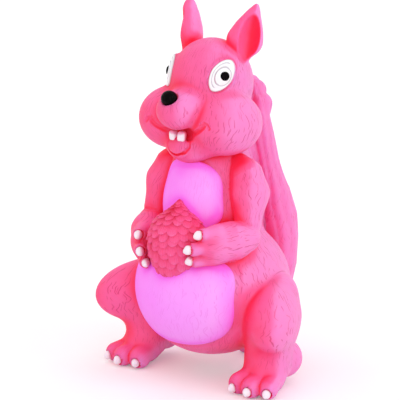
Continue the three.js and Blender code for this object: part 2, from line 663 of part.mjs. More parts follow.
// The latex is hollow down to its feet, which are solid. Each limb's hollow opens into what it grows from.
const hollow = [
  torso,
  skull,
  tailRegion,
  coneRegion,
  ...Object.values(arms).flatMap(({ upper, lower }) => [upper, lower.slice(0, 1)]),
  ...Object.values(legs).map(({ leg }) => leg),
];
const footFloors = Object.values(legs).map((one) => grown(one.foot, latex.seam + latex.wall));
const airSpace = cut(joined(hollow.map(inside)), [pad, ...footFloors]);
const squeakerHole = joined([
  solidOf(cylinder(squeaker.flangeRadius + latex.seam, -OVERRUN, levels.collarBottom, squeakerAt)),
  solidOf(cylinder(squeaker.neckRadius + latex.seam, -OVERRUN, levels.collarTop + OVERRUN, squeakerAt)),
]);

addSolid("torso", cut(solid(torso), [airSpace, squeakerHole]), materials.pinkLatex);
addSolid("head", cut(solid(skull), [clearOf(torso), airSpace, solid(smile)]), materials.pinkLatex);
addSolid("tail", cut(solid(tailRegion), [clearOf(torso), clearOf(skull), airSpace, floor]), materials.pinkLatex);
addSolid("fir_cone", cut(solid(coneRegion), [clearOf(torso), airSpace]), materials.pinkLatex);

for (const side of Object.keys(SIDES)) {
  const { leaf, scoop } = ears[side];
  addSolid(`ear_${side}`, cut(solid(leaf), [clearOf(skull), solid(scoop)]), materials.pinkLatex);

  const { upper, lower } = arms[side];
  const upperArm = cut(solid(upper), [clearOf(torso), clearOf(skull), airSpace]);
  addSolid(`upper_arm_${side}`, upperArm, materials.pinkLatex);
  const forearm = cut(solid(lower), [clearOf(torso), clearOf(upper), clearOf(coneRegion), airSpace]);
  addSolid(`forearm_${side}`, forearm, materials.pinkLatex);

  const { leg, foot: footForms } = legs[side];
  const thighSolid = cut(solid(leg), [clearOf(torso), airSpace, clearOf(footForms), clearOf(lower), floor]);
  addSolid(`leg_${side}`, thighSolid, materials.pinkLatex);
  addSolid(`foot_${side}`, cut(solid(footForms), [clearOf(torso), floor]), materials.pinkLatex);

  const { white, pupil } = eyes[side];
  addSolid(`eye_white_${side}`, cut(solid(white), [clearOf(skull)]), materials.whitePaint);
  addSolid(`pupil_${side}`, cut(solid(pupil), [clearOf(skull), clearOf(white)]), materials.blackPaint);
  const skullWithMouth = clearOf(skull).subtract(solid(smile));
  addSolid(`tooth_${side}`, cut(solid(toothForms(SIDES[side])), [skullWithMouth]), materials.whitePaint);

  arms[side].tips.forEach((tip, i) => {
    const clawSolid = cut(solid(clawForms(tip)), [clearOf(lower), clearOf(coneRegion), clearOf(torso)]);
    addSolid(`finger_claw_${side}_${i + 1}`, clawSolid, materials.whitePaint);
  });
  legs[side].tips.forEach((tip, i) => {
    const clawSolid = cut(solid(clawForms(tip)), [clearOf(footForms), floor]);
    addSolid(`toe_claw_${side}_${i + 1}`, clawSolid, materials.whitePaint);
  });
}
addSolid("nose", cut(solid(noseBall), [clearOf(skull)]), materials.blackPaint);

const inFront = [clearOf(coneRegion), clearOf(skull)];
for (const side of Object.keys(SIDES)) {
  inFront.push(clearOf(arms[side].upper), clearOf(arms[side].lower), clearOf(legs[side].leg));
  inFront.push(...arms[side].tips.map((tip) => clearOf(clawForms(tip))));
}
const chestPatch = paintOn(torso, patchOutline(patchShares.chest));
const bellyPatch = paintOn(torso, patchOutline(patchShares.belly));
addSolid("chest_patch", cut(chestPatch, inFront), materials.violetLatex);
addSolid("belly_patch", cut(bellyPatch, inFront), materials.violetLatex);

addMesh("squeaker_housing", housing(), materials.squeakerPlastic);
addSolid("reed_block", reedBlockSolid(), materials.squeakerPlastic);
addSolid("reed_wedge", halfRound(LEFT, clampTop - latex.seam), materials.squeakerPlastic);
addMesh("reed", box(reedLow, reedHigh), materials.reedFilm);

// The toy's origin is on the floor, in the middle of its width and depth.
const bounds = new THREE.Box3().setFromObject(toy);
toy.position.set(0, -(bounds.min.y + bounds.max.y) / 2, 0);

export default toy;
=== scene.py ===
import math
from types import SimpleNamespace as Sizes

import bpy
import numpy as np
from mathutils import Euler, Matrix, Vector


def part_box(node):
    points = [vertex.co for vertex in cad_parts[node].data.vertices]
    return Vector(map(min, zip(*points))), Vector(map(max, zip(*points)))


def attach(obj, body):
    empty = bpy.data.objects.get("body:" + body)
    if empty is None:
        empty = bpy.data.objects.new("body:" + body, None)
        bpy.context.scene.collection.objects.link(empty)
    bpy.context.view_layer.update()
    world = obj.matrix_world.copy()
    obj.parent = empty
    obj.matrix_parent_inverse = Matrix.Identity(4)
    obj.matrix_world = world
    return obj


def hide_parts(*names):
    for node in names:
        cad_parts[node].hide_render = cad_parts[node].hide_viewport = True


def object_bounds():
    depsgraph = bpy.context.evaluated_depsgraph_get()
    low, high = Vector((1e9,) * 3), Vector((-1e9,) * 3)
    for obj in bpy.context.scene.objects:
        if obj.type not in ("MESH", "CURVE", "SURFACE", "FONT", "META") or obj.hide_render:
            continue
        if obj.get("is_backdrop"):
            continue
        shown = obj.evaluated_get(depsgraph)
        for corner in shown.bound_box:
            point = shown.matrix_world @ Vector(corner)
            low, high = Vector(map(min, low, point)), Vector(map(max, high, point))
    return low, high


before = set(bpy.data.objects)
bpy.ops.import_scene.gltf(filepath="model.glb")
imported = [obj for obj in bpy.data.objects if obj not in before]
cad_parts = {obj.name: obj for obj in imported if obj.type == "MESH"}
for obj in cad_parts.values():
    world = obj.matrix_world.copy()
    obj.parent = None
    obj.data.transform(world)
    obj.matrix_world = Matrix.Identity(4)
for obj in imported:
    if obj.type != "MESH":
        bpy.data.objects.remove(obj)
cad_low, cad_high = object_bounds()

LEFT = 1
RIGHT = -1
SIDES = {"left": LEFT, "right": RIGHT}
MM = 0.001

# Driving sizes. softness is how widely the swellings of a region run together.
BODY = Sizes(lift=10, height=102, half_width=36, half_depth=37, softness=8)
HEAD = Sizes(rise=15, forward=6, half_width=30, half_depth=30, half_height=29, softness=5)
EAR = Sizes(length=27.5, half_width=8.8, half_thickness=6, scoop_depth=6.6, lean=11, turn=48, softness=2.4)
EYE = Sizes(
    half_width=5, half_height=8.3, half_thickness=2.6, sink=1.5,
    turn=42, lean=34, pitch=14, pupil_radius=2.15,
)
NOSE_RADIUS = 3.7
MOUTH = Sizes(half_width=7, half_height=4, depth=2, crease_radius=1.05, fold_radius=0.75)
TONGUE = Sizes(half_width=5.7, half_depth=2.6, half_height=5, sink=2, rise=0.4)
TOOTH = Sizes(half_width=1.9, half_depth=1.8, half_height=2.4, apart=4.7, turn=20, lean=6)
ARM = Sizes(
    shoulder_radius=7, upper_radius=8.4, elbow_radius=6.5, forearm_radius=8.2, wrist_radius=7.2, softness=3,
)
HAND = Sizes(palm_radius=7.6, finger_radius=3.1, lift={"left": 3, "right": -2})
THIGH = Sizes(half_length=27.5, half_width=13, half_height=15.5, turn=37, dip=4, softness=6)
SHIN_RADIUS = 10.8
FOOT = Sizes(heel_radius=9.5, arch_radius=8.2, toe_radius=4.9, toe_length=11.4, softness=4)
TAIL = Sizes(height=141, half_width=18.6, reach=40, tuft_radius=7.6, softness=4.5)
CONE = Sizes(length=44.5, radius=14, lean=4)
CLAW = Sizes(half_length=2.5, half_width=1.95, half_height=2.15)
SQUEAKER = Sizes(
    flange_radius=10, neck_radius=7.4, barrel_radius=5.6,
    snap_radius=8.8, bore_radius=3.6, air_hole_radius=1.8,
    flange_thickness=1.3, collar=3.3, barrel_length=9, room_below=1.6, room_above=4,
)
PAINT = 0.5
SEAM = 0.3
# How finely each surface is polygonised.
CELL = Sizes(body=0.8, head=0.45, tail=0.9, patch=0.55, eye=0.26)


# Distance fields. Each takes rows of points and gives about how far each lies outside a shape.


def vec(*xyz):
    return np.array(xyz, float)


UP = vec(0, 0, 1)
FRONT = vec(0, -1, 0)


def turned(x=0, y=0, z=0):
    """The matrix of a turn about X, then Y, then Z, in degrees."""
    return np.array(Euler((math.radians(x), math.radians(y), math.radians(z)), "XYZ").to_matrix())


def ball(centre, half, turn=None):
    axes = np.eye(3) if turn is None else turn

    def field(points):
        local = (points - centre) @ axes / half
        reach = np.linalg.norm(local, axis=1)
        slope = np.linalg.norm(local / half, axis=1) + 1e-9
        return reach * (reach - 1) / slope
    return field


def rod(start, end, start_radius, end_radius):
    along = end - start

    def field(points):
        offset = points - start
        share = np.clip(offset @ along / (along @ along), 0, 1)
        radius = start_radius + (end_radius - start_radius) * share
        return np.linalg.norm(offset - share[:, None] * along, axis=1) - radius
    return field


def chain(points, radii):
    links = [rod(*pair) for pair in zip(points, points[1:], radii, radii[1:])]
    return lambda at: np.min([link(at) for link in links], axis=0)


def smooth_step(value, low, high):
    share = np.clip((value - low) / (high - low), 0, 1)
    return share * share * (3 - 2 * share)


def soft_least(a, b, softness):
    overlap = np.maximum(softness - np.abs(a - b), 0)
    return np.minimum(a, b) - overlap * overlap / (4 * softness)


def blend(softness, *fields):
    """The fields run together with a soft fillet between them."""
    def field(points):
        total = fields[0](points)
        for other in fields[1:]:
            total = soft_least(total, other(points), softness)
        return total
    return field


def least(*fields):
    return lambda points: np.min([field(points) for field in fields], axis=0)


def carve(field, cutter, softness):
    """The field without the cutter, with a rounded edge."""
    return lambda points: -soft_least(-field(points), cutter(points), softness)


def grown(field, grow):
    return lambda points: field(points) - grow


def above_floor(field, softness=0.9):
    return lambda points: -soft_least(-field(points), points[:, 2], softness)


def rounded_reach(x, z, roundness):
    """1 on the edge of an oval that is squarer the larger its roundness is."""
    return (np.abs(x) ** roundness + np.abs(z) ** roundness) ** (1 / roundness)


def slope_of(field, points, step=0.05):
    """The field's value and its gradient at each point."""
    value = field(points)
    gradient = np.stack([field(points + step * axis) - value for axis in np.eye(3)], axis=1) / step
    return value, gradient


def surface_point(field, origin, direction, reach=90.0):
    """Where the ray from origin leaves the field."""
    direction = direction / np.linalg.norm(direction)
    distances = np.linspace(0.05, reach, 1800)
    values = field(origin + distances[:, None] * direction)
    last = np.nonzero(values < 0)[0][-1]
    low, high = distances[last], distances[last + 1]
    for _ in range(24):
        middle = (low + high) / 2
        if field((origin + middle * direction)[None])[0] < 0:
            low = middle
        else:
            high = middle
    return origin + high * direction


# Polygons. The grid is filled only near the surface, and its vertices are drawn onto the surface itself.

CORNERS = np.array([[i, j, k] for i in (0, 1) for j in (0, 1) for k in (0, 1)])
EDGES = [(a, b) for a in range(8) for b in range(a + 1, 8) if np.abs(CORNERS[a] - CORNERS[b]).sum() == 1]
BLOCK = 4


def sampled(field, low, high, cell):
    counts = np.ceil((high - low) / (cell * BLOCK)).astype(int)
    middles = [low[k] + cell * BLOCK * (np.arange(counts[k]) + 0.5) for k in range(3)]
    coarse = field(np.stack(np.meshgrid(*middles, indexing="ij"), -1).reshape(-1, 3)).reshape(counts)
    near = np.abs(coarse) < cell * BLOCK * 1.5
    spread = lambda blocks: blocks.repeat(BLOCK, 0).repeat(BLOCK, 1).repeat(BLOCK, 2)
    values = np.pad(spread(coarse), ((0, 1),) * 3, mode="edge")
    wanted = np.zeros(values.shape, bool)
    fine = spread(near)
    for i, j, k in CORNERS:
        wanted[i:i + fine.shape[0], j:j + fine.shape[1], k:k + fine.shape[2]] |= fine
    values[wanted] = field(low + cell * np.argwhere(wanted))
    return values


def polygonised(field, low, high, cell):
    """Vertices and four-sided faces of the surface where the field is nought."""
    low, high = np.array(low, float), np.array(high, float)
    values = sampled(field, low, high, cell)
    within = values < 0
    size = np.array(values.shape) - 1
    count = sum(within[i:i + size[0], j:j + size[1], k:k + size[2]].astype(np.int8) for i, j, k in CORNERS)
    cells = np.argwhere((count > 0) & (count < 8))
    at_corner = np.stack([values[tuple((cells + corner).T)] for corner in CORNERS], axis=1)
    total = np.zeros((len(cells), 3))
    crossings = np.zeros(len(cells))
    for a, b in EDGES:
        crossed = (at_corner[:, a] < 0) != (at_corner[:, b] < 0)
        share = at_corner[crossed, a] / (at_corner[crossed, a] - at_corner[crossed, b])
        total[crossed] += CORNERS[a] + share[:, None] * (CORNERS[b] - CORNERS[a])
        crossings[crossed] += 1
    vertices = low + cell * (cells + total / crossings[:, None])
    for _ in range(3):
        value, gradient = slope_of(field, vertices)
        step = -(value / np.maximum((gradient ** 2).sum(1), 0.1))[:, None] * gradient
        vertices += np.clip(step, -cell / 2, cell / 2)

    number = np.full(size, -1)
    number[tuple(cells.T)] = np.arange(len(cells))
    faces = []
    for axis in range(3):
        other, third = [k for k in range(3) if k != axis]
        here = np.moveaxis(within, axis, 0)
        change = np.moveaxis(here[:-1] != here[1:], 0, axis)
        edges = np.argwhere(change)
        keep = (edges[:, other] > 0) & (edges[:, third] > 0)
        keep &= (edges[:, other] < size[other]) & (edges[:, third] < size[third])
        edges = edges[keep]
        step_other, step_third = np.eye(3, dtype=int)[[other, third]]
        round_edge = [edges, edges - step_other, edges - step_other - step_third, edges - step_third]
        quads = np.stack([number[tuple(corner.T)] for corner in round_edge], axis=1)
        outward = within[tuple(edges.T)] == (axis != 1)
        quads[~outward] = quads[~outward][:, ::-1]
        faces.append(quads)
    return vertices, np.concatenate(faces)


# Where the regions are. Each is worked out from the one that carries it.


class Frame:
    """An origin with a size along X, Y and Z. Places in it are given as shares of those sizes."""

    def __init__(self, origin, size):
        self.origin = origin
        self.size = size

    def at(self, shares):
        return self.origin + np.array(shares) * self.size

    def ball(self, at, half):
        return ball(self.at(at), np.array(half) * self.size)


def mirrored(side, shares):
    return [side * shares[0], *shares[1:]]


body_frame = Frame(vec(0, 0, BODY.lift), vec(BODY.half_width, BODY.half_depth, BODY.height))
head_frame = Frame(
    vec(0, -HEAD.forward, BODY.lift + BODY.height + HEAD.rise),
    vec(HEAD.half_width, HEAD.half_depth, HEAD.half_height),
)

torso = blend(
    BODY.softness,
    body_frame.ball([0, -0.05, 0.32], [1, 1, 0.322]),
    body_frame.ball([0, -0.07, 0.7], [0.62, 0.63, 0.29]),
    body_frame.ball([0, -0.1, 0.92], [0.44, 0.44, 0.16]),
)

skull = blend(
    HEAD.softness,
    head_frame.ball([0, 0.08, 0.38], [0.635, 0.66, 0.72]),
    head_frame.ball([0, -0.14, 0.25], [0.36, 0.42, 0.42]),
    head_frame.ball([0, -0.36, -0.53], [0.4, 0.43, 0.3]),
    head_frame.ball([0.49, -0.2, -0.17], [0.55, 0.57, 0.505]),
    head_frame.ball([-0.49, -0.2, -0.17], [0.55, 0.57, 0.505]),
)
skull = blend(HEAD.softness / 2, skull, head_frame.ball([0, -0.62, 0.05], [0.36, 0.45, 0.325]))
head_centre = head_frame.at([0, -0.1, -0.05])


def on_face(shares):
    """The place on the face that lies straight out from the head's centre through a place in its frame."""
    return surface_point(skull, head_centre, head_frame.at(shares) - head_centre)


# The crease of the smile from its corner to the teeth, the fold over its corner, and the lower lip's outline.
SMILE_SHARES = [
    [0.55, -0.765, -0.125], [0.5, -0.766, -0.155], [0.42, -0.76, -0.215],
    [0.3, -0.715, -0.275], [0.18, -0.7, -0.315],
]
FOLD_SHARES = [[0.45, -0.767, -0.12], [0.51, -0.767, -0.1], [0.57, -0.762, -0.12], [0.6, -0.757, -0.17]]
LIP_SHARES = [[0.2, -0.72, -0.42], [0.2, -0.72, -0.5], [0.14, -0.75, -0.59], [0, -0.76, -0.635]]


def creased(shares, side, radius):
    """A crease across the face that fades at its first end."""
    points = [on_face(mirrored(side, share)) for share in shares]
    return chain(points, [radius * 0.4] + [radius] * (len(points) - 1))


def smile_and_mouth():
    creases = []
    for side in (LEFT, RIGHT):
        creases.append(creased(SMILE_SHARES, side, MOUTH.crease_radius))
        creases.append(creased(FOLD_SHARES, side, MOUTH.fold_radius))
        creases.append(creased(LIP_SHARES, side, MOUTH.fold_radius))
    hollow = ball(on_face([0, -0.8, -0.37]), vec(MOUTH.half_width, MOUTH.depth, MOUTH.half_height))
    tongue_half = vec(TONGUE.half_width, TONGUE.half_depth, TONGUE.half_height)
    tongue = ball(on_face([0, -0.76, -0.52]) + vec(0, TONGUE.sink, TONGUE.rise), tongue_half)
    middle = on_face([0, -0.84, -0.27])
    return middle, least(*creases), hollow, tongue


smile_middle, mouth_creases, mouth_hollow, tongue = smile_and_mouth()


class Ear:
    """A leaf, scooped out in front, that leans outwards. The right one stands a little further out."""

    APART_SHARES = {LEFT: 0.44, RIGHT: 0.55}
    # Place across and up the leaf, width and rise of each swelling.
    LEAF_SHARES = [
        (-0.16, 0.12, 0.52, 0.26), (-0.06, 0.36, 0.96, 0.28), (0.02, 0.55, 0.74, 0.24),
        (0.1, 0.73, 0.44, 0.18), (0.2, 0.89, 0.18, 0.1),
    ]

    def __init__(self, side):
        self.root = head_frame.at([side * self.APART_SHARES[side], 0.26, 0.73])
        self.turn = turned(y=side * EAR.lean, z=side * EAR.turn)
        blades = []
        for across, up, width, rise in self.LEAF_SHARES:
            half = vec(EAR.half_width * width, EAR.half_thickness * math.sqrt(width), EAR.length * rise)
            blades.append(ball(self.at([side * across, 0, up]), half, self.turn))
        scoop_half = vec(EAR.half_width * 0.56, EAR.scoop_depth, EAR.length * 0.42)
        self.scoop = ball(self.at([side * 0.06, -1, 0.42]), scoop_half, self.turn)
        self.field = carve(blend(EAR.softness, *blades), self.scoop, 1)

    def at(self, shares):
        size = vec(EAR.half_width, EAR.half_thickness, EAR.length)
        return self.root + self.turn @ (np.array(shares) * size)


class Eye:
    """A low mound on the face with a painted white, oval and leaning outwards, and a round pupil on it."""

    def __init__(self, side):
        self.side = side
        self.turn = turned(x=-EYE.pitch, z=side * EYE.turn) @ turned(y=side * EYE.lean)
        self.half = vec(EYE.half_width, EYE.half_thickness, EYE.half_height)
        self.place = on_face(mirrored(side, [0.5, -0.3, 0.6]))
        mound = ball(self.at(0, EYE.sink, 0), self.half + vec(0.6, 0, 0.6), self.turn)
        self.face = blend(1.6, skull, mound)
        self.pupil_at = (side * EYE.pupil_radius * 0.58, EYE.pupil_radius * 0.18)

    def at(self, x, y, z):
        return self.place + self.turn @ vec(x, y, z)

    def local(self, points):
        return (points - self.place) @ self.turn

    def edge(self, points):
        """How far outside the white's outline each point lies."""
        local = self.local(points)
        reach = rounded_reach(local[:, 0] / self.half[0], local[:, 2] / self.half[2], 1.8)
        return (reach - 1) * self.half[0]

    def on_white(self, x, z):
        """The place on the mound under a place of the eye's own plane."""
        outside = self.at(x, -8, z)
        return surface_point(self.face, self.at(x, 8, z), outside - self.at(x, 8, z), 16)


ears = [Ear(side) for side in (LEFT, RIGHT)]
eyes = {name: Eye(side) for name, side in SIDES.items()}
nose_centre = on_face([0, -0.9, 0.24]) + vec(0, NOSE_RADIUS * 0.2, 0)

cone_turn = turned(x=-CONE.lean)
cone_centre = body_frame.at([0, -0.77, 0.541])
# Height and radius of each swelling of the cone.
CONE_SHARES = [
    (-0.45, 0.13), (-0.34, 0.42), (-0.2, 0.72), (-0.04, 0.93),
    (0.11, 1), (0.25, 0.74), (0.37, 0.32), (0.46, 0.09),
]


def in_cone(x, y, z):
    return cone_centre + cone_turn @ vec(x, y, z)


def cone_ball(at, radius):
    size = CONE.radius * radius
    return ball(in_cone(0, 0, at * CONE.length), vec(size, size, size * 0.8), cone_turn)


cone_field = blend(CONE.radius / 3, *[cone_ball(*share) for share in CONE_SHARES])


class Digit:
    """A finger or toe: a rod from its knuckle to its tip, with a claw at the end."""

    def __init__(self, knuckle, tip, radius, rise):
        self.knuckle, self.tip = knuckle, tip
        self.reach = (tip - knuckle) / np.linalg.norm(tip - knuckle)
        self.field = rod(knuckle, tip, radius, radius)
        self.claw_centre = tip + self.reach * radius * 0.8 + vec(0, 0, radius * rise)


class Arm:
    """It hangs from the shoulder to the elbow, then reaches forward to the cone."""

    FINGER_SHARES = [
        ([-0.05, -0.5, 0.72], [-0.42, -1.25, 0.66]),
        ([-0.2, -0.75, -0.05], [-0.84, -1.66, -0.2]),
        ([-0.3, -0.55, -0.85], [-0.97, -1.32, -0.96]),
    ]

    def __init__(self, side, lift):
        at = lambda *share: body_frame.at(mirrored(side, share))
        neck, self.shoulder, middle = at(0.5, -0.15, 0.917), at(0.605, -0.155, 0.866), at(0.69, -0.19, 0.789)
        self.elbow = at(0.775, -0.36, 0.6)
        above_elbow = self.elbow + np.array(mirrored(side, [-0.16, 0.4, 1])) * ARM.elbow_radius
        size = HAND.palm_radius
        self.palm = in_cone(side * CONE.radius * 1.57, CONE.radius * 0.335, size * 0.23) + vec(0, 0, lift)
        self.forearm_middle = self.elbow + (self.palm - self.elbow) * 0.5
        radius = ARM.shoulder_radius
        self.upper = blend(
            ARM.softness,
            chain([neck, self.shoulder], [radius * 0.6, radius]),
            chain([middle, above_elbow], [ARM.upper_radius, ARM.elbow_radius * 0.95]),
            chain([self.shoulder, middle], [radius, ARM.upper_radius]),
        )
        self.lower = blend(
            ARM.softness,
            chain([self.elbow, self.forearm_middle], [ARM.elbow_radius, ARM.forearm_radius]),
            chain([self.forearm_middle, self.palm], [ARM.forearm_radius, ARM.wrist_radius]),
            ball(self.palm, vec(0.85, 1, 1.15) * size),
            ball(
                self.palm + np.array(mirrored(side, [-0.26, -0.42, -0.08])) * size,
                vec(0.78, 0.92, 1.12) * size,
            ),
        )
        self.fingers = []
        for knuckle, tip in self.FINGER_SHARES:
            ends = [self.palm + np.array(mirrored(side, share)) * size for share in (knuckle, tip)]
            self.fingers.append(Digit(*ends, HAND.finger_radius, 0.1))
        self.hand = blend(1.2, *[finger.field for finger in self.fingers])
        self.field = blend(0.9, self.upper, blend(2.2, self.lower, self.hand))


class Leg:
    """A thigh from the hip to the knee, a shin under it and a flat foot with three toes."""

    def __init__(self, side):
        self.middle = body_frame.at(mirrored(side, [0.995, -0.125, 0.24]))
        half = vec(THIGH.half_width, THIGH.half_length, THIGH.half_height)
        heel_radius, arch_radius, toe_radius = FOOT.heel_radius, FOOT.arch_radius, FOOT.toe_radius
        ankle = vec(self.middle[0], self.middle[1] - SHIN_RADIUS * 0.25, heel_radius)
        self.limb = blend(
            THIGH.softness,
            ball(self.middle, half, turned(x=THIGH.dip, z=side * THIGH.turn)),
            rod(self.middle, ankle + vec(0, 0, heel_radius * 0.3), SHIN_RADIUS * 1.08, SHIN_RADIUS),
        )
        hip = self.middle + vec(-side * 0.2, 0.5, 0.6) * THIGH.half_height
        self.limb = blend(THIGH.softness, self.limb, ball(hip, vec(1, 1, 1) * THIGH.half_height * 0.58))
        heel = ankle + vec(0, 1.2 * heel_radius, 0.24 * heel_radius)
        arch = vec(ankle[0] + side * arch_radius * 0.18, ankle[1] - 0.5 * arch_radius, arch_radius * 0.75)
        self.sole = blend(
            FOOT.softness,
            ball(heel, vec(1, 1, 0.98) * heel_radius),
            ball(arch, vec(1.15, 1.05, 0.98) * arch_radius),
        )
        self.toes = []
        for row in (-1, 0, 1):
            knuckle = arch + vec(row * toe_radius * 0.92, 0, arch_radius * 0.12)
            reach = vec(row * 0.36 + side * 0.09, -1, 0)
            length = FOOT.toe_length * (1 if row == 0 else 0.85)
            tip = knuckle + reach / np.linalg.norm(reach) * length
            tip[2] = toe_radius * 0.95
            self.toes.append(Digit(knuckle, tip, toe_radius * (1 - 0.07 * row * side), -0.05))
        self.foot = blend(1.6, self.sole, blend(0.6, *[toe.field for toe in self.toes]))
        self.field = blend(3, self.limb, self.foot)


arms = {name: Arm(side, HAND.lift[name]) for name, side in SIDES.items()}
legs = {name: Leg(side) for name, side in SIDES.items()}


class Tail:
    """Five tufts from the floor to behind the head, where they curl out, and a shorter one on each side."""

    # Reach behind the body, spread, height and thickness.
    MIDDLE_SHARES = [
        (0.86, 0.42, 0.03, 0.66), (0.93, 0.62, 0.21, 0.78), (1, 0.72, 0.42, 0.88), (0.92, 0.7, 0.6, 0.82),
        (0.8, 0.68, 0.7, 0.75), (0.6, 0.75, 0.88, 0.7), (0.64, 0.8, 0.948, 0.66),
    ]
    SIDE_SHARES = [
        (0.86, 0.45, 0.03, 0.62), (0.93, 0.84, 0.21, 0.84), (0.98, 1.02, 0.34, 0.98), (1, 1.03, 0.42, 1),
        (0.99, 0.98, 0.5, 1), (0.92, 0.9, 0.58, 0.86), (0.83, 0.8, 0.66, 0.6), (0.77, 0.72, 0.72, 0.34),
    ]
    WEB = [([0, 0.75, 0.06], 0.2), ([0, 0.66, 0.2], 0.29), ([0, 0.52, 0.53], 0.29), ([0, 0.38, 0.94], 0.22)]
    RIDGES_ROUND = 22

    def __init__(self):
        tufts = [self.tuft(self.MIDDLE_SHARES, across) for across in np.linspace(-1, 1, 5)]
        tufts += [self.tuft(self.SIDE_SHARES, across) for across in (-1, 1)]
        middles = [body_frame.at(at) for at, _ in self.WEB]
        web = chain(middles, [share * BODY.half_width for _, share in self.WEB])
        self.smooth = blend(TAIL.softness, blend(1.3, *tufts), web)

    def tuft(self, stations, across):
        radii = [TAIL.tuft_radius * thickness for _, _, _, thickness in stations]
        return chain([self.station(*share[:3], across) for share in stations], radii)

    def station(self, reach, spread, height, across):
        radius = TAIL.tuft_radius
        drop = smooth_step(height, 0.82, 0.948) * across * across * radius
        return vec(
            across * spread * (TAIL.half_width - radius),
            TAIL.reach * reach - radius * 0.35 * abs(across),
            TAIL.height * height - drop,
        )

    def field(self, points):
        """The tufts with ridges combed down them."""
        heights = [height * TAIL.height for _, _, height, _ in self.MIDDLE_SHARES]
        middles = [reach * TAIL.reach for reach, _, _, _ in self.MIDDLE_SHARES]
        middle = np.interp(points[:, 2], heights, middles)
        angle = np.arctan2(points[:, 0], points[:, 1] - middle + 3)
        wander = 0.5 * np.sin(points[:, 2] * 0.09 + angle * 2) + 0.3 * np.sin(points[:, 2] * 0.21 - angle * 3)
        ridge = np.abs(np.sin(angle * self.RIDGES_ROUND / 2 + wander))
        return self.smooth(points) - 0.55 * ridge + 0.3


tail = Tail()


# The skins. Each is one field, of the regions that are cast together.

squeaker_at = body_frame.at([0, -0.05, 0]) * vec(1, 1, 0)
housing_low, housing_high = (np.array(corner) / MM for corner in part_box("squeaker_housing"))
toy_shift = ((housing_low + housing_high) / 2 - squeaker_at) * vec(1, 1, 0)


def upright(radius, low, high):
    """A round column over the squeaker's middle."""
    def field(points):
        sideways = np.hypot(points[:, 0] - squeaker_at[0], points[:, 1] - squeaker_at[1]) - radius
        upwards = np.maximum(low - points[:, 2], points[:, 2] - high)
        return np.maximum(sideways, upwards)
    return field


class Patch:
    """A painted area of the torso's front, oval or squarer, raised by the thickness of its paint."""

    def __init__(self, at, half, roundness_low, roundness_high, taper=0.0):
        self.centre, self.half = body_frame.at(at), np.array(half) * body_frame.size
        self.roundness_low, self.roundness_high, self.taper = roundness_low, roundness_high, taper

    def edge(self, points):
        """How far outside the patch's outline each point lies."""
        x = (points[:, 0] - self.centre[0]) / self.half[0]
        z = (points[:, 2] - self.centre[2]) / self.half[2]
        turn = smooth_step(z, -0.2, 0.4)
        roundness = self.roundness_low + (self.roundness_high - self.roundness_low) * turn
        reach = rounded_reach(x / (1 - self.taper * z), z, roundness)
        outside = (reach - 1) * min(self.half[0], self.half[2])
        return np.maximum(outside, points[:, 1] - self.centre[1])


PATCHES = {
    "chest_patch": Patch([0, -0.25, 0.775], [0.465, 0, 0.155], 3.2, 3, taper=0.14),
    "belly_patch": Patch([0, -0.25, 0.31], [0.8, 0, 0.214], 2.4, 3.4),
}


def bead(first, second, radius):
    """A bead of that radius along the line in which both fields are nought."""
    return lambda points: np.hypot(first(points), second(points)) - radius


def body_skin_field():
    lower = torso
    for patch in PATCHES.values():
        lower = carve(lower, bead(grown(patch.edge, 0.6), grown(torso, 0.55), 0.9), 0.6)
    lower = blend(3, lower, *[leg.field for leg in legs.values()])
    whole = blend(1, lower, *[arm.field for arm in arms.values()])
    for limb in [*arms.values(), *legs.values()]:
        for digit in limb.fingers if isinstance(limb, Arm) else limb.toes:
            whole = carve(whole, ball(digit.claw_centre, claw_half + SEAM), 0.5)
    flange = upright(SQUEAKER.flange_radius + SEAM, 0, housing_low[2] + SQUEAKER.room_below)
    neck = upright(SQUEAKER.snap_radius + SEAM, 0, housing_high[2] + SQUEAKER.room_above)
    return above_floor(carve(carve(whole, flange, 0.5), neck, 0.5))


def head_skin_field():
    face = skull
    for eye in eyes.values():
        face = least(face, eye.face)
    face = carve(face, ball(nose_centre, vec(1, 1, 1) * (NOSE_RADIUS + 0.25)), 0.6)
    face = blend(0.6, carve(face, mouth_hollow, 2.4), tongue)
    face = carve(face, mouth_creases, 0.6)
    for eye in eyes.values():
        face = carve(face, bead(grown(eye.edge, 0.25), grown(eye.face, 0.1), 0.4), 0.3)
    return blend(1.6, face, *[ear.field for ear in ears])


claw_half = vec(CLAW.half_width, CLAW.half_length, CLAW.half_height)
body_skin = body_skin_field()
head_skin = head_skin_field()
tail_skin = above_floor(tail.field)


def whole_toy(points):
    return np.min([skin(points) for skin in (body_skin, head_skin, tail_skin, cone_field)], axis=0)


# The side from which the painted light falls: surfaces turned to it are painted paler, and those turned away
# darker.
PAINTED_LIGHT_SIDE = vec(0.8, 0.6, 0)
# How far off the toy's other parts cast painted shade into creases, and how much each distance counts.
PAINTED_SHADE_REACHES = ((1.5, 0.2), (4, 0.25), (9, 0.3), (18, 0.25))


def shade_at(points, normals, creases=0.85, painted_light_share=0.95):
    """How much painted shade each point gets: more in creases near the toy's other parts, and less, as
    painted light, where the surface is turned to the lit side.
    """
    openness = 0
    for distance, weight in PAINTED_SHADE_REACHES:
        beyond = whole_toy(points + distance * normals)
        openness += weight * np.clip(beyond / distance, 0, 1)
    # Painted shade where the toy's other parts are near, and painted light and shade by which way the surface
    # is turned.
    return creases * (1 - openness) + painted_light_share * (0.5 - 0.5 * normals @ PAINTED_LIGHT_SIDE)


# Fur. Its strokes are drawn by the material, which takes from each vertex where it is across and along them.


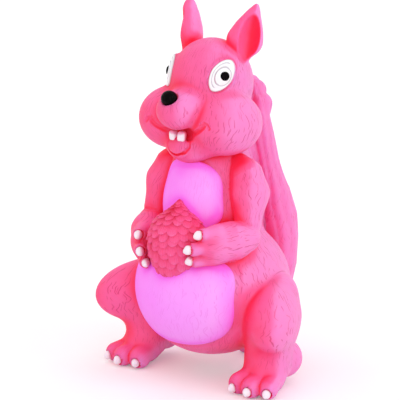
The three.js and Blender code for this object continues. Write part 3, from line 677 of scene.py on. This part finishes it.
class Fur:
    """Strokes along an axis on the outside of a region. front is where the angle round the axis is 0."""

    def __init__(self, field, start, end, front, radius, strength=1.0, polar=False):
        self.field, self.start, self.radius = field, start, radius
        self.strength, self.polar = strength, polar
        self.axis = (end - start) / np.linalg.norm(end - start)
        front = front - self.axis * (front @ self.axis)
        self.front = front / np.linalg.norm(front)
        self.side = np.cross(self.axis, self.front)

    def at(self, points):
        offset = points - self.start
        along = offset @ self.axis
        angle = np.arctan2(offset @ self.side, offset @ self.front)
        if self.polar:
            along = self.radius * np.arccos(np.clip(along / np.linalg.norm(offset, axis=1), -1, 1))
        seam = smooth_step(math.pi - np.abs(angle), 0.02, 0.15)
        return angle * self.radius, along, seam * self.strength


def fur_at(points, furs):
    """Across, along and strength for each point, from the region that is nearest to it."""
    distances = np.stack([fur.field(points) for fur in furs], axis=1)
    nearest = distances.argmin(1)
    if len(furs) > 1:
        two = np.sort(distances, axis=1)
        clear = smooth_step(two[:, 1] - two[:, 0], 0.1, 0.8)
    else:
        clear = np.ones(len(points))
    result = np.zeros((len(points), 3))
    for number, fur in enumerate(furs):
        mine = nearest == number
        across, along, strength = fur.at(points[mine])
        result[mine] = np.stack([across + 311 * number, along, strength * clear[mine]], axis=1)
    return result


def torso_fur(strength=1.0):
    return Fur(torso, squeaker_at, squeaker_at + UP, FRONT, 28, strength)


def body_furs():
    furs = [torso_fur()]
    for name, side in SIDES.items():
        arm, leg = arms[name], legs[name]
        outward = vec(side, -0.3, 0)
        furs.append(Fur(arm.upper, arm.shoulder, arm.elbow, outward, 9))
        furs.append(Fur(arm.lower, arm.elbow, arm.palm, outward, 8))
        furs.append(Fur(arm.hand, arm.elbow, arm.palm, outward, 8, strength=0.1))
        furs.append(Fur(leg.limb, leg.middle, leg.middle + UP, outward, 14))
        furs.append(Fur(leg.sole, leg.middle, leg.middle + UP, outward, 12, strength=0.8))
        furs += [Fur(toe.field, toe.knuckle, toe.tip, UP, 5, strength=0.25) for toe in leg.toes]
    return furs


def head_furs():
    middle = head_frame.at([0, 0, 0.05])
    furs = [Fur(skull, middle, middle + vec(0, 0.2, 1), FRONT, 27, polar=True)]
    furs += [Fur(ear.field, ear.root, ear.at(UP), -FRONT, 9, strength=0.35) for ear in ears]
    return furs


def painted_shade_in_ear_scoops(points):
    """How much more painted shade lies in the ears' scoops."""
    depth = np.max([-ear.scoop(points) for ear in ears], axis=0)
    return 0.45 * smooth_step(depth, -1.2, 0.8)


def tail_furs():
    middle = tail.station(0.8, 1, 0, 0)
    return [Fur(tail.field, middle, middle + UP, -FRONT, 22, strength=0.6)]


# Meshes.


def to_metres(points):
    return (np.asarray(points) + toy_shift) * MM


def add_piece(name, points, faces, material, body="skin"):
    mesh = bpy.data.meshes.new(name)
    mesh.from_pydata(to_metres(points).tolist(), [], [list(map(int, face)) for face in faces])
    mesh.update()
    mesh.shade_smooth()
    piece = bpy.data.objects.new(name, mesh)
    bpy.context.scene.collection.objects.link(piece)
    mesh.materials.append(material)
    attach(piece, body)
    return piece


def polygon_points(piece):
    """A piece's points in the toy's own millimetres."""
    values = np.empty(3 * len(piece.data.vertices), np.float32)
    piece.data.vertices.foreach_get("co", values)
    return values.reshape(-1, 3) / MM - toy_shift


def add_attribute(piece, name, values):
    kind = "FLOAT_VECTOR" if values.ndim == 2 else "FLOAT"
    attribute = piece.data.attributes.new(name, kind, "POINT")
    attribute.data.foreach_set("vector" if values.ndim == 2 else "value", values.astype(np.float32).ravel())


def add_skin(name, field, box, cell, furs, material, painted_shade_weights=(0.85, 0.95), extra_painted_shade=None):
    """A piece polygonised from a field, with the fur, and the painted light and shade, that its material
    reads.
    """
    points, faces = polygonised(field, *box, cell)
    _, normals = slope_of(field, points)
    normals /= np.linalg.norm(normals, axis=1)[:, None] + 1e-9
    piece = add_piece(name, points, faces, material)
    # Painted shade in creases, painted light on the side turned to the light, and any extra painted shade.
    shade = shade_at(points, normals, *painted_shade_weights)
    if extra_painted_shade:
        shade += extra_painted_shade(points)
    fur = fur_at(points, furs)
    fur[:, 2] *= 1 - smooth_step(shade, 0.75, 0.95)
    add_attribute(piece, "fur", fur)
    add_attribute(piece, "shade", shade)
    return piece


def revolved(profile, sides):
    """Rings of a closed profile of (radius, height) turned about Z, as points and faces."""
    angles = np.arange(sides) * 2 * math.pi / sides
    points = []
    for radius, height in profile:
        points += [[radius * math.cos(angle), radius * math.sin(angle), height] for angle in angles]
    count = len(profile)
    faces = []
    for ring in range(count):
        after = (ring + 1) % count
        for k in range(sides):
            beside = (k + 1) % sides
            faces.append([ring * sides + k, ring * sides + beside, after * sides + beside, after * sides + k])
    return np.array(points), faces


def capped_rings(rings, sides):
    """The faces over a first point, rings of points one after the other, and a last point."""
    pairs = [(k, (k + 1) % sides) for k in range(sides)]
    faces = [[0, 1 + beside, 1 + k] for k, beside in pairs]
    for start in range(1, 1 + (rings - 1) * sides, sides):
        above = start + sides
        faces += [[start + k, start + beside, above + beside, above + k] for k, beside in pairs]
    start = 1 + (rings - 1) * sides
    return faces + [[start + sides, start + k, start + beside] for k, beside in pairs]


def globe(rows, sides, place):
    """A closed globe of rows and sides, with each point put where place(latitude, longitude) says."""
    points = [place(-math.pi / 2, 0)]
    for row in range(1, rows):
        latitude = -math.pi / 2 + math.pi * row / rows
        points += [place(latitude, 2 * math.pi * k / sides) for k in range(sides)]
    points.append(place(math.pi / 2, 0))
    return np.array(points), capped_rings(rows - 1, sides)


# Looks. Each finish is a short function.


def dye(red, green, blue):
    """A colour written as on a screen, 0 to 255, as the linear values that a shader takes."""
    shares = [value / 255 for value in (red, green, blue)]
    return [share / 12.92 if share <= 0.04045 else ((share + 0.055) / 1.055) ** 2.4 for share in shares] + [1]


class Look:
    """A material and short calls that make its nodes."""

    def __init__(self, name, roughness, **settings):
        self.material = bpy.data.materials.new(name)
        self.material.use_nodes = True
        self.tree = self.material.node_tree
        self.shader = self.tree.nodes["Principled BSDF"]
        self.shader.inputs["Roughness"].default_value = roughness
        for socket, value in settings.items():
            self.shader.inputs[socket.replace("_", " ")].default_value = value

    def put(self, socket, value):
        if isinstance(value, bpy.types.NodeSocket):
            self.tree.links.new(value, socket)
        else:
            socket.default_value = value

    def node(self, kind, **inputs):
        node = self.tree.nodes.new("ShaderNode" + kind)
        for name, value in inputs.items():
            self.put(node.inputs[name], value)
        return node

    def filled(self, kind, values, **settings):
        """The first output of a node whose sockets take the values in order."""
        node = self.node(kind)
        for name, setting in settings.items():
            setattr(node, name, setting)
        for socket, value in zip(node.inputs, values):
            self.put(socket, value)
        return node.outputs[0]

    def math(self, operation, *values):
        return self.filled("Math", values, operation=operation)

    def vector(self, operation, *values):
        return self.filled("VectorMath", values, operation=operation)

    def ramp(self, value, low, high, at_low=0.0, at_high=1.0):
        return self.filled("MapRange", (value, low, high, at_low, at_high), interpolation_type="SMOOTHSTEP")

    def varied(self, value, noise, amount):
        """The value, made uneven by that amount of the noise."""
        return self.math("MULTIPLY_ADD", self.math("SUBTRACT", noise, 0.5), amount, value)

    def mixed(self, factor, first, second):
        node = self.tree.nodes.new("ShaderNodeMix")
        node.data_type = "RGBA"
        self.put(node.inputs[0], factor)
        self.put(node.inputs[6], first)
        self.put(node.inputs[7], second)
        return node.outputs[2]

    def noise(self, coordinates, scale, detail=2.0, output="Fac"):
        return self.node("TexNoise", Vector=coordinates, Scale=scale, Detail=detail).outputs[output]

    def attribute(self, name, output="Fac"):
        node = self.node("Attribute")
        node.attribute_name = name
        return node.outputs[output]

    def millimetres(self):
        return self.vector("MULTIPLY", self.node("TexCoord").outputs["Object"], [1 / MM] * 3)

    def bump(self, height, depth, normal=None):
        """Relief of that depth in millimetres, on top of another relief."""
        node = self.node("Bump", Height=height, Strength=1.0, Distance=depth * MM)
        if normal is not None:
            self.put(node.inputs["Normal"], normal)
        return node.outputs[0]

    def finish(self, color, normal=None, roughness=None):
        self.put(self.shader.inputs["Base Color"], color)
        if normal is not None:
            self.put(self.shader.inputs["Normal"], normal)
        if roughness is not None:
            self.put(self.shader.inputs["Roughness"], roughness)
        return self.material


def hairs(look, place, across, along, shift):
    """Short engraved hairs: 1 in the middle of each, one at most in each cell of that size."""
    cell = [across, along, 1]
    spread = look.vector("ADD", look.vector("DIVIDE", place, cell), [shift, shift * 0.7, 0])
    cells = look.node("TexVoronoi", Vector=spread, Scale=1.0, Randomness=0.9)
    cells.voronoi_dimensions = "2D"
    offset = look.vector("MULTIPLY", look.vector("SUBTRACT", spread, cells.outputs["Position"]), cell)
    local = look.node("SeparateXYZ", Vector=offset).outputs
    chance = look.node("SeparateColor", Color=cells.outputs["Color"]).outputs
    tilt = look.math("MULTIPLY", look.math("SUBTRACT", chance[0], 0.5), 0.5)
    bend = look.math("MULTIPLY", look.math("SUBTRACT", chance[1], 0.5), 0.25)
    curve = look.math("MULTIPLY_ADD", local[1], bend, tilt)
    sideways = look.math("ABSOLUTE", look.math("MULTIPLY_ADD", local[1], curve, local[0]))
    length = look.ramp(chance[2], 0, 1, 0.7, along * 0.46)
    beyond = look.math("SUBTRACT", look.math("ABSOLUTE", local[1]), length)
    thin = look.ramp(sideways, 0.05, 0.21, 1, 0)
    ends = look.ramp(beyond, -0.6, 0.2, 1, 0)
    return look.math("MULTIPLY", thin, ends)


def fur(look):
    """Two layers of hairs, wavy, where the vertices' fur attribute says."""
    parts = look.node("SeparateXYZ", Vector=look.attribute("fur", "Vector")).outputs
    flat = look.node("CombineXYZ", X=parts[0], Y=parts[1]).outputs[0]
    wave = look.noise(flat, 0.13, output="Color")
    waves = look.vector("MULTIPLY", look.vector("SUBTRACT", wave, [0.5] * 3), [5, 3, 0])
    flat = look.vector("ADD", flat, waves)
    long_hairs = hairs(look, flat, 2.0, 7, 0)
    short_hairs = hairs(look, flat, 2.6, 4.4, 17)
    both = look.math("MAXIMUM", long_hairs, look.math("MULTIPLY", short_hairs, 0.8))
    patchy = look.ramp(look.noise(flat, 0.09), 0.3, 0.62, 0.35, 1)
    return look.math("MULTIPLY", look.math("MULTIPLY", both, patchy), parts[2])


# How far red, green and blue spread inside latex, against each other.
BLEED_RADIUS = (1.0, 0.25, 0.35)


def latex(name, light, middle, painted_shade_tone, hair_shade_tone, fur_depth=0.1, bleed=0.5, roughness=0.5):
    """Satin cast latex with painted shade in creases and in its engraved hairs, painted light on its lit side
    and a deeper colour at a patch's rim, faintly mottled, with fur engraved in it.
    """
    look = Look(name, roughness, Specular_IOR_Level=0.25, Subsurface_Weight=bleed, Subsurface_Scale=0.008)
    look.shader.inputs["Subsurface Radius"].default_value = BLEED_RADIUS
    place = look.millimetres()
    # The shade attribute carries painted light and shade; the rim adds the patch paint's deeper colour at its
    # edge.
    shade = look.math("MULTIPLY_ADD", look.attribute("rim"), 0.45, look.attribute("shade"))
    mottle = look.noise(place, 0.16, 3.0)
    uneven = look.varied(shade, mottle, 0.14)
    # Painted light and shade: the colour runs from the lit tone through the middle one to the painted shade
    # tone.
    color = look.mixed(look.ramp(uneven, 0.32, 0.64), light, middle)
    color = look.mixed(look.ramp(uneven, 0.6, 1.22), color, painted_shade_tone)
    strokes = fur(look)
    # Painted shade in the engraved hairs.
    color = look.mixed(look.math("MULTIPLY", strokes, 0.6), color, hair_shade_tone)
    grain = look.noise(place, 1.7, 3.0)
    normal = look.bump(grain, 0.05)
    normal = look.bump(look.math("SUBTRACT", 1.0, strokes), fur_depth, normal)
    rough = look.ramp(grain, 0.2, 0.8, roughness - 0.05, roughness + 0.08)
    return look.finish(color, normal, rough)


def pink_latex():
    # The lit, middle and painted shade tones of the pink, then the painted shade of its hairs.
    light, middle = dye(255, 140, 206), dye(255, 102, 164)
    return latex("pink_latex_skin", light, middle, dye(255, 44, 86), dye(214, 40, 100))


def violet_latex():
    # The lit, middle and painted shade tones of the violet paint, then the painted shade of its hairs.
    light, middle, painted_shade_tone = dye(255, 172, 255), dye(255, 158, 255), dye(255, 110, 246)
    return latex("violet_latex_patch", light, middle, painted_shade_tone, dye(238, 112, 228), 0.05, 0.06)


def cone_latex():
    """The cone's scales, with painted shade between and under them and with fine streaks down each."""
    bleed = dict(Subsurface_Weight=0.3, Subsurface_Scale=0.005)
    look = Look("fir_cone_latex", 0.55, Specular_IOR_Level=0.25, **bleed)
    look.shader.inputs["Subsurface Radius"].default_value = BLEED_RADIUS
    place = look.millimetres()
    shade = look.attribute("shade")
    streaks = look.noise(look.vector("MULTIPLY", place, [2.6, 2.6, 0.5]), 1.0, 3.0)
    uneven = look.varied(shade, streaks, 0.35)
    # Painted light and shade: the lit tone, the middle one and the painted shade between the scales.
    color = look.mixed(look.ramp(uneven, 0.1, 0.5), dye(255, 122, 178), dye(251, 88, 146))
    color = look.mixed(look.ramp(uneven, 0.45, 0.95), color, dye(222, 26, 70))
    normal = look.bump(streaks, 0.12)
    return look.finish(color, normal)


def white_paint(name, tint, edge):
    """White latex paint, brushed on by hand, with a little of the pink showing through at its edge, and
    painted shade in its engraved lines and where it meets the latex.
    """
    look = Look(name, 0.36, Specular_IOR_Level=0.5, Subsurface_Weight=0.08, Subsurface_Scale=0.002)
    place = look.millimetres()
    brushed = look.noise(look.vector("MULTIPLY", place, [1.0, 1.0, 0.35]), 0.9, 3.0)
    shade = look.attribute("shade")
    thin = look.varied(shade, brushed, 0.4)
    # The edge tone is pink showing through thin paint, and it is also painted shade in lines and creases.
    color = look.mixed(look.ramp(thin, 0.3, 0.95), tint, edge)
    return look.finish(color, look.bump(brushed, 0.05), look.ramp(brushed, 0.3, 0.7, 0.3, 0.44))


def black_paint():
    """Black paint with faint brush marks."""
    look = Look("black_paint", 0.3, Specular_IOR_Level=0.04)
    place = look.millimetres()
    marks = look.noise(look.vector("MULTIPLY", place, [1.0, 1.0, 0.4]), 1.4, 3.0)
    color = look.mixed(look.ramp(marks, 0.35, 0.7), dye(4, 3, 4), dye(16, 11, 14))
    return look.finish(color, look.bump(marks, 0.04), look.ramp(marks, 0.3, 0.7, 0.16, 0.3))


def moulded_plastic(name, pale, dull, roughness):
    """Injection-moulded plastic with a fine matt texture and slight clouding."""
    look = Look(name, roughness, Specular_IOR_Level=0.5)
    place = look.millimetres()
    cloud = look.noise(place, 0.35, 3.0)
    grain = look.noise(place, 4.0, 2.0)
    color = look.mixed(look.ramp(cloud, 0.3, 0.7), pale, dull)
    rough = look.ramp(grain, 0.3, 0.7, roughness - 0.06, roughness + 0.08)
    return look.finish(color, look.bump(grain, 0.03), rough)


# Pieces.


def add_skins(material):
    low, high = (np.array(corner) / MM - toy_shift for corner in (cad_low, cad_high))
    margin = 2
    body_box = (low - margin, vec(high[0] + margin, 38, 122))
    head_box = (vec(-34, -42, 98), vec(34, 20, high[2] + margin))
    tail_box = (vec(-22, 8, -margin), high + margin)
    body = add_skin("body_skin", body_skin, body_box, CELL.body, body_furs(), material)
    head = add_skin("head_skin", head_skin, head_box, CELL.head, head_furs(), material, extra_painted_shade=painted_shade_in_ear_scoops)
    back = add_skin("tail_skin", tail_skin, tail_box, CELL.tail, tail_furs(), material, painted_shade_weights=(0.15, 0.55))
    limbs = [f"{part}_{side}" for part in ("upper_arm", "forearm", "leg", "foot") for side in SIDES]
    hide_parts("torso", *limbs)
    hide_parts("head", "ear_left", "ear_right")
    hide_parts("tail")
    return [body, head, back]


def add_patches(material):
    """The painted chest and belly: raised areas of the torso with a rounded edge."""
    for name, patch in PATCHES.items():
        raised = carve(grown(torso, PAINT), lambda points, patch=patch: -patch.edge(points), 0.9)
        layer = carve(raised, grown(torso, -1), 0.3)
        reach = patch.half + 2
        low = patch.centre - reach * vec(1, 0, 1) - vec(0, 32, 0)
        high = patch.centre + reach * vec(1, 0, 1) + vec(0, 1, 0)
        piece = add_skin(name + "_paint", layer, (low, high), CELL.patch, [torso_fur(0.7)], material)
        depth = -patch.edge(polygon_points(piece))
        add_attribute(piece, "rim", 1 - smooth_step(depth, 0, 4.5))
        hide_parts(name)


def add_globe(name, node, material, rows, sides, place):
    points, faces = globe(rows, sides, place)
    piece = add_piece(name, points, faces, material)
    outward = points - points.mean(0)
    outward /= np.linalg.norm(outward, axis=1)[:, None]
    # Painted shade where the piece meets the latex, and a little painted light and shade by which way it
    # faces.
    add_attribute(piece, "shade", shade_at(points + 0.3 * outward, outward, creases=1.1, painted_light_share=0.1))
    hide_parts(node)


def on_ball(latitude, longitude, half, squareness=1.0):
    """A point of a ball, or of a rounded box where squareness is below 1."""
    def power(value):
        return math.copysign(abs(value) ** squareness, value)
    return np.array([
        half[0] * power(math.cos(latitude)) * power(math.cos(longitude)),
        half[1] * power(math.cos(latitude)) * power(math.sin(longitude)),
        half[2] * power(math.sin(latitude)),
    ])


def add_eye(name, eye, white, black):
    """The white has a line engraved along its lid, a second one inside it and a ring round the pupil."""
    pupil_x, pupil_z = eye.pupil_at

    def engraved(points):
        x, _, z = eye.local(points).T
        upper = smooth_step(-eye.side * x, -2.5, 1)
        depth = 0.2 * upper * np.exp(-((eye.edge(points) + 1.1) / 0.22) ** 2)
        depth += 0.14 * upper * np.exp(-((eye.edge(points) + 2.2) / 0.22) ** 2)
        ring = (np.hypot((x - pupil_x + eye.side * 0.5) / 3.4, (z - pupil_z + 0.6) / 4.4) - 1) * 3.6
        return depth + 0.2 * np.exp(-(ring / 0.25) ** 2)

    raised = lambda points: eye.face(points) - 0.28 + engraved(points)
    layer = carve(carve(raised, lambda points: -eye.edge(points), 0.35), grown(eye.face, -1), 0.3)
    reach = np.full(3, EYE.half_height + 2)
    points, faces = polygonised(layer, eye.place - reach, eye.place + reach, CELL.eye)
    piece = add_piece(f"eye_white_{name}_paint", points, faces, white)
    # Pink showing through at the white's edge, and painted shade in its engraved lines.
    shade = 0.75 * smooth_step(eye.edge(points), -0.7, 0) + 5 * engraved(points)
    add_attribute(piece, "shade", shade)
    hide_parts(f"eye_white_{name}")
    radius = EYE.pupil_radius
    middle = eye.on_white(pupil_x, pupil_z)

    def dome(latitude, longitude):
        x, y, z = on_ball(latitude, longitude, (radius, radius * 0.5, radius))
        return middle + eye.turn @ vec(x, y + 0.1, z)
    add_globe(f"pupil_{name}_paint", f"pupil_{name}", black, 24, 40, dome)


def add_nose(material):
    """A round nose, a little wider than high and dimpled below its middle."""
    def place(latitude, longitude):
        point = on_ball(latitude, longitude, vec(1.02, 1, 0.97) * NOSE_RADIUS)
        dimple = 0.25 * math.exp(-(point[0] ** 2 + (point[2] + 1.6) ** 2) / 0.9) if point[1] < 0 else 0
        return nose_centre + point + vec(0, dimple, 0)
    add_globe("nose_paint", "nose", material, 40, 56, place)


def add_tooth(name, side, material):
    """A rounded square incisor with a shallow hollow down its front."""
    width, depth, height = TOOTH.half_width, TOOTH.half_depth, TOOTH.half_height
    centre = smile_middle + vec(side * TOOTH.apart / 2, depth * 0.78, -height * 1.15)
    turn = turned(y=side * TOOTH.lean, z=side * TOOTH.turn)

    def place(latitude, longitude):
        point = on_ball(latitude, longitude, (width, depth, height), 0.55)
        point[1] += 0.18 * math.exp(-(point[0] / 0.8) ** 2) if point[1] < 0 else 0
        return centre + turn @ point
    add_globe(f"tooth_{name}_paint", f"tooth_{name}", material, 32, 40, place)


def add_claw(node, digit, material):
    """A claw that narrows to a blunt point and curves down."""
    heading = math.degrees(math.atan2(digit.reach[0], -digit.reach[1]))
    dip = math.degrees(math.asin(np.clip(digit.reach[2], -1, 1)))
    turn = turned(x=-dip, z=heading)

    def place(latitude, longitude):
        point = on_ball(latitude, longitude, claw_half)
        forward = -point[1] / claw_half[1]
        taper = 1 - 0.28 * max(forward, 0) ** 2
        point[0] *= taper
        point[2] = point[2] * taper - 0.35 * max(forward, 0) ** 2
        return digit.claw_centre + turn @ point
    add_globe(node + "_paint", node, material, 24, 32, place)


def cone_outline(count):
    """Heights and radii of the cone from its top down, in even steps along its outline."""
    heights = np.linspace(0.56, -0.56, 900) * CONE.length
    distances = np.linspace(0, CONE.radius * 1.2, 600)
    outward = cone_turn @ vec(0, 1, 0)
    middles = np.array([in_cone(0, 0, height) for height in heights])
    grid = middles[:, None] + distances[None, :, None] * outward
    radii = (cone_field(grid.reshape(-1, 3)).reshape(len(heights), -1) < 0).sum(1) * distances[1]
    inside = radii > 0.05
    heights, radii = heights[inside], radii[inside]
    path = np.concatenate([[0], np.cumsum(np.hypot(np.diff(heights), np.diff(radii)))])
    share = (heights[0] - heights) / (heights[0] - heights[-1])
    radii *= (1 - 0.45 * smooth_step(share, 0.24, 0)) * (1 - 0.66 * smooth_step(share, 0.58, 1))
    heights = np.where(heights < 0, heights * 1.2, heights)
    along = np.linspace(0.05, path[-1] - 0.05, count)
    return np.interp(along, path, heights), np.interp(along, path, radii), along


def scale_relief(angles, along, radii):
    """How far the scales stand out, 0 to 1, over a grid of places along the cone and angles round it."""
    random = np.random.default_rng(11)
    down, radius = along[:, None], radii[:, None]
    relief = np.zeros((len(along), len(angles)))
    start = 0.3
    while start < along[-1] - 1.6:
        gap = 1.9 + 1.3 * np.interp(start, along, radii) / CONE.radius
        middle_radius = np.interp(start + 1.5 * gap, along, radii)
        count = int(np.clip(round(2 * math.pi * middle_radius / 4.9), 4, 18))
        first = random.uniform(0, 1)
        for number in range(count):
            middle = (number + first + random.uniform(-0.16, 0.16)) * 2 * math.pi / count
            reach = gap * random.uniform(1.9, 2.5)
            half_width = middle_radius * math.pi / count * random.uniform(1.1, 1.35)
            share = (down - start - random.uniform(-0.25, 0.25)) / reach
            sideways = (angles - middle + math.pi) % (2 * math.pi) - math.pi
            across = sideways * np.maximum(radius, middle_radius * 0.8)
            tip = np.maximum((share - 1) * reach + half_width, 0)
            edge = half_width - np.hypot(across, tip * random.uniform(0.9, 1.15))
            streaks = 0.07 * np.cos(across * random.uniform(5, 7)) * smooth_step(share, 0.3, 0.7)
            crown = random.uniform(0.8, 1) - 0.25 * (across / half_width) ** 2 + streaks
            raised = np.clip(share, 0, 1) * smooth_step(edge, 0, 0.4) * crown
            relief = np.maximum(relief, np.where((share > 0) & (share < 1), raised, 0))
        start += gap
    return relief


def add_cone(material):
    """The cone: rows of scales that overlap downwards like roof tiles, no two quite alike."""
    rows, sides = 320, 300
    heights, radii, along = cone_outline(rows)
    angles = np.arange(sides) * 2 * math.pi / sides
    relief = scale_relief(angles, along, radii)
    rise = 1.9 * np.clip(radii / 6, 0.25, 1)[:, None]
    final = np.maximum(radii[:, None] + rise * (relief - 0.7), 0.05)
    points = [[in_cone(0, 0, heights[0] + 0.1)]]
    for row in range(rows):
        x, y = np.cos(angles) * final[row], np.sin(angles) * final[row]
        ring = np.stack([x, y, np.full(sides, heights[row])], 1)
        points.append(cone_centre + ring @ cone_turn.T)
    points.append([in_cone(0, 0, heights[-1] - 0.1)])
    points = np.concatenate(points)
    faces = [[face[0], *face[:0:-1]] for face in capped_rings(rows, sides)]
    piece = add_piece("fir_cone_scales", points, faces, material)
    upwards = cone_turn @ UP
    outward = points - cone_centre
    outward -= (outward @ upwards)[:, None] * upwards
    outward /= np.linalg.norm(outward, axis=1)[:, None] + 1e-9
    # Painted shade under each scale's tip and where the cone lies against the toy, with a little painted
    # light where it faces the lit side.
    depth = np.concatenate([[0.2], 1 - relief.ravel(), [0.4]])
    add_attribute(piece, "shade", 0.6 * depth + 0.4 * shade_at(points + 1.2 * outward, outward))
    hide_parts("fir_cone")


def add_squeaker(plastic):
    """The flanged barrel in the rump, with a rounded rim and a raised lip round its air hole."""
    low, high = housing_low[2], housing_high[2]
    flange, snap, neck = SQUEAKER.flange_radius, SQUEAKER.snap_radius, SQUEAKER.neck_radius
    barrel, bore, hole = SQUEAKER.barrel_radius, SQUEAKER.bore_radius, SQUEAKER.air_hole_radius
    shoulder = low + SQUEAKER.flange_thickness
    collar = shoulder + SQUEAKER.collar
    profile = [
        (hole, low + 0.2), (hole + 0.2, low), (hole + 1, low), (hole + 1.2, low + 0.3),
        (flange - 1.4, low + 0.3), (flange - 1.1, low), (flange - 0.4, low), (flange - 0.1, low + 0.15),
        (flange, low + 0.5), (flange, shoulder - 0.2), (flange - 0.2, shoulder),
        (neck, shoulder), (neck, collar), (snap - 0.2, collar), (snap, collar + 0.25),
        (barrel, high - SQUEAKER.barrel_length), (barrel, high - 0.3), (barrel - 0.3, high),
        (bore + 0.3, high), (bore, high - 0.3), (bore, shoulder), (hole, shoulder),
    ]
    points, faces = revolved(profile, 96)
    piece = add_piece("squeaker_barrel", points + squeaker_at, faces, plastic)
    bevel = piece.modifiers.new("edges", "BEVEL")
    bevel.width = 0.12 * MM
    bevel.limit_method = "ANGLE"
    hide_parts("squeaker_housing")


def dress_reed_parts(plastic):
    film = moulded_plastic("reed_film", dye(222, 205, 150), dye(205, 184, 122), 0.3)
    for name, material in (("reed_block", plastic), ("reed_wedge", plastic), ("reed", film)):
        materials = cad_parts[name].data.materials
        materials.clear()
        materials.append(material)


def add_pieces():
    pink = pink_latex()
    for skin in add_skins(pink):
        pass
    add_patches(violet_latex())
    # The second tone of each white is pink through thin paint and painted shade.
    white = white_paint("eye_white_paint", dye(252, 249, 252), dye(206, 196, 206))
    ivory = white_paint("tooth_and_claw_paint", dye(250, 238, 248), dye(238, 150, 190))
    black = black_paint()
    for name, side in SIDES.items():
        add_eye(name, eyes[name], white, black)
        add_tooth(name, side, ivory)
        for number, finger in enumerate(arms[name].fingers):
            add_claw(f"finger_claw_{name}_{number + 1}", finger, ivory)
        for number, toe in enumerate(legs[name].toes):
            add_claw(f"toe_claw_{name}_{number + 1}", toe, ivory)
    add_nose(black)
    add_cone(cone_latex())
    plastic = moulded_plastic("squeaker_plastic", dye(238, 235, 226), dye(222, 218, 206), 0.42)
    add_squeaker(plastic)
    dress_reed_parts(plastic)


# Studio: a pale floor, a white world, a broad lamp on the right and a broader one in front.

# The world's light on the toy, where 1 is white, and how much the floor shines for the camera.
WORLD_LEVEL = 0.92
FLOOR_GLOW = 0.2


def background_seen(tree):
    """1 for the rays that show the background: the camera's, and those in gloss or glass."""
    ray = tree.nodes.new("ShaderNodeLightPath").outputs
    seen = ray["Is Camera Ray"]
    for kind in ("Is Glossy Ray", "Is Transmission Ray"):
        either = tree.nodes.new("ShaderNodeMath")
        either.operation = "MAXIMUM"
        tree.links.new(seen, either.inputs[0])
        tree.links.new(ray[kind], either.inputs[1])
        seen = either.outputs[0]
    return seen


def add_floor():
    size = 6
    mesh = bpy.data.meshes.new("floor")
    corners = [(-size, -size, 0), (size, -size, 0), (size, size, 0), (-size, size, 0)]
    mesh.from_pydata(corners, [], [(0, 1, 2, 3)])
    floor = bpy.data.objects.new("floor", mesh)
    bpy.context.scene.collection.objects.link(floor)
    look = Look("floor_paper", 0.9, Specular_IOR_Level=0.1)
    fibre = look.noise(look.millimetres(), 0.02, 3.0)
    look.shader.inputs["Emission Color"].default_value = (1, 1, 1, 1)
    glow = look.math("MULTIPLY", background_seen(look.tree), FLOOR_GLOW)
    look.put(look.shader.inputs["Emission Strength"], glow)
    color = look.mixed(look.ramp(fibre, 0.3, 0.7), dye(243, 242, 243), dye(240, 239, 240))
    mesh.materials.append(look.finish(color))
    floor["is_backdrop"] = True


def light_studio():
    world = bpy.data.worlds.new("studio")
    bpy.context.scene.world = world
    world.use_nodes = True
    tree = world.node_tree
    background = tree.nodes["Background"]
    background.inputs["Color"].default_value = (1, 1, 1, 1)
    level = tree.nodes.new("ShaderNodeMapRange")
    level.inputs["To Min"].default_value = WORLD_LEVEL
    tree.links.new(background_seen(tree), level.inputs["Value"])
    tree.links.new(level.outputs[0], background.inputs["Strength"])
    add_lamp("key", 0.35, 35, Vector((0.8, 0.1, 0.5)))
    add_lamp("fill", 0.5, 120, Vector((0.2, -1, 0.15)))


def add_lamp(name, energy, angle, direction):
    light = bpy.data.lights.new(name, "SUN")
    light.energy = energy
    light.angle = math.radians(angle)
    lamp = bpy.data.objects.new(name, light)
    bpy.context.scene.collection.objects.link(lamp)
    lamp.rotation_euler = direction.to_track_quat("Z", "Y").to_euler()


def add_camera():
    """It stands as the photographer did, 38 degrees round to the toy's left and 12 degrees up."""
    azimuth, elevation = math.radians(38), math.radians(12)
    distance, lens, height = 800, 154.5, 88
    shift_right, shift_up = 7.5, 5.4
    middle = UP * height + toy_shift
    right = vec(math.cos(azimuth), math.sin(azimuth), 0)
    back = vec(math.sin(azimuth), -math.cos(azimuth), 0) * math.cos(elevation) + UP * math.sin(elevation)
    up = np.cross(back, right)
    aim = middle - shift_right * right - shift_up * up
    place = middle + distance * back
    data = bpy.data.cameras.new("camera")
    data.lens = lens
    camera = bpy.data.objects.new("camera", data)
    bpy.context.scene.collection.objects.link(camera)
    camera.location = place * MM
    camera.rotation_euler = Vector(place - aim).to_track_quat("Z", "Y").to_euler()
    bpy.context.scene.camera = camera


add_pieces()
add_floor()
light_studio()
add_camera()
bpy.context.scene.view_settings.view_transform = "Standard"

sizes = {"cad": [list(corner) for corner in (cad_low, cad_high)], "visual": [list(corner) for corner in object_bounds()]}
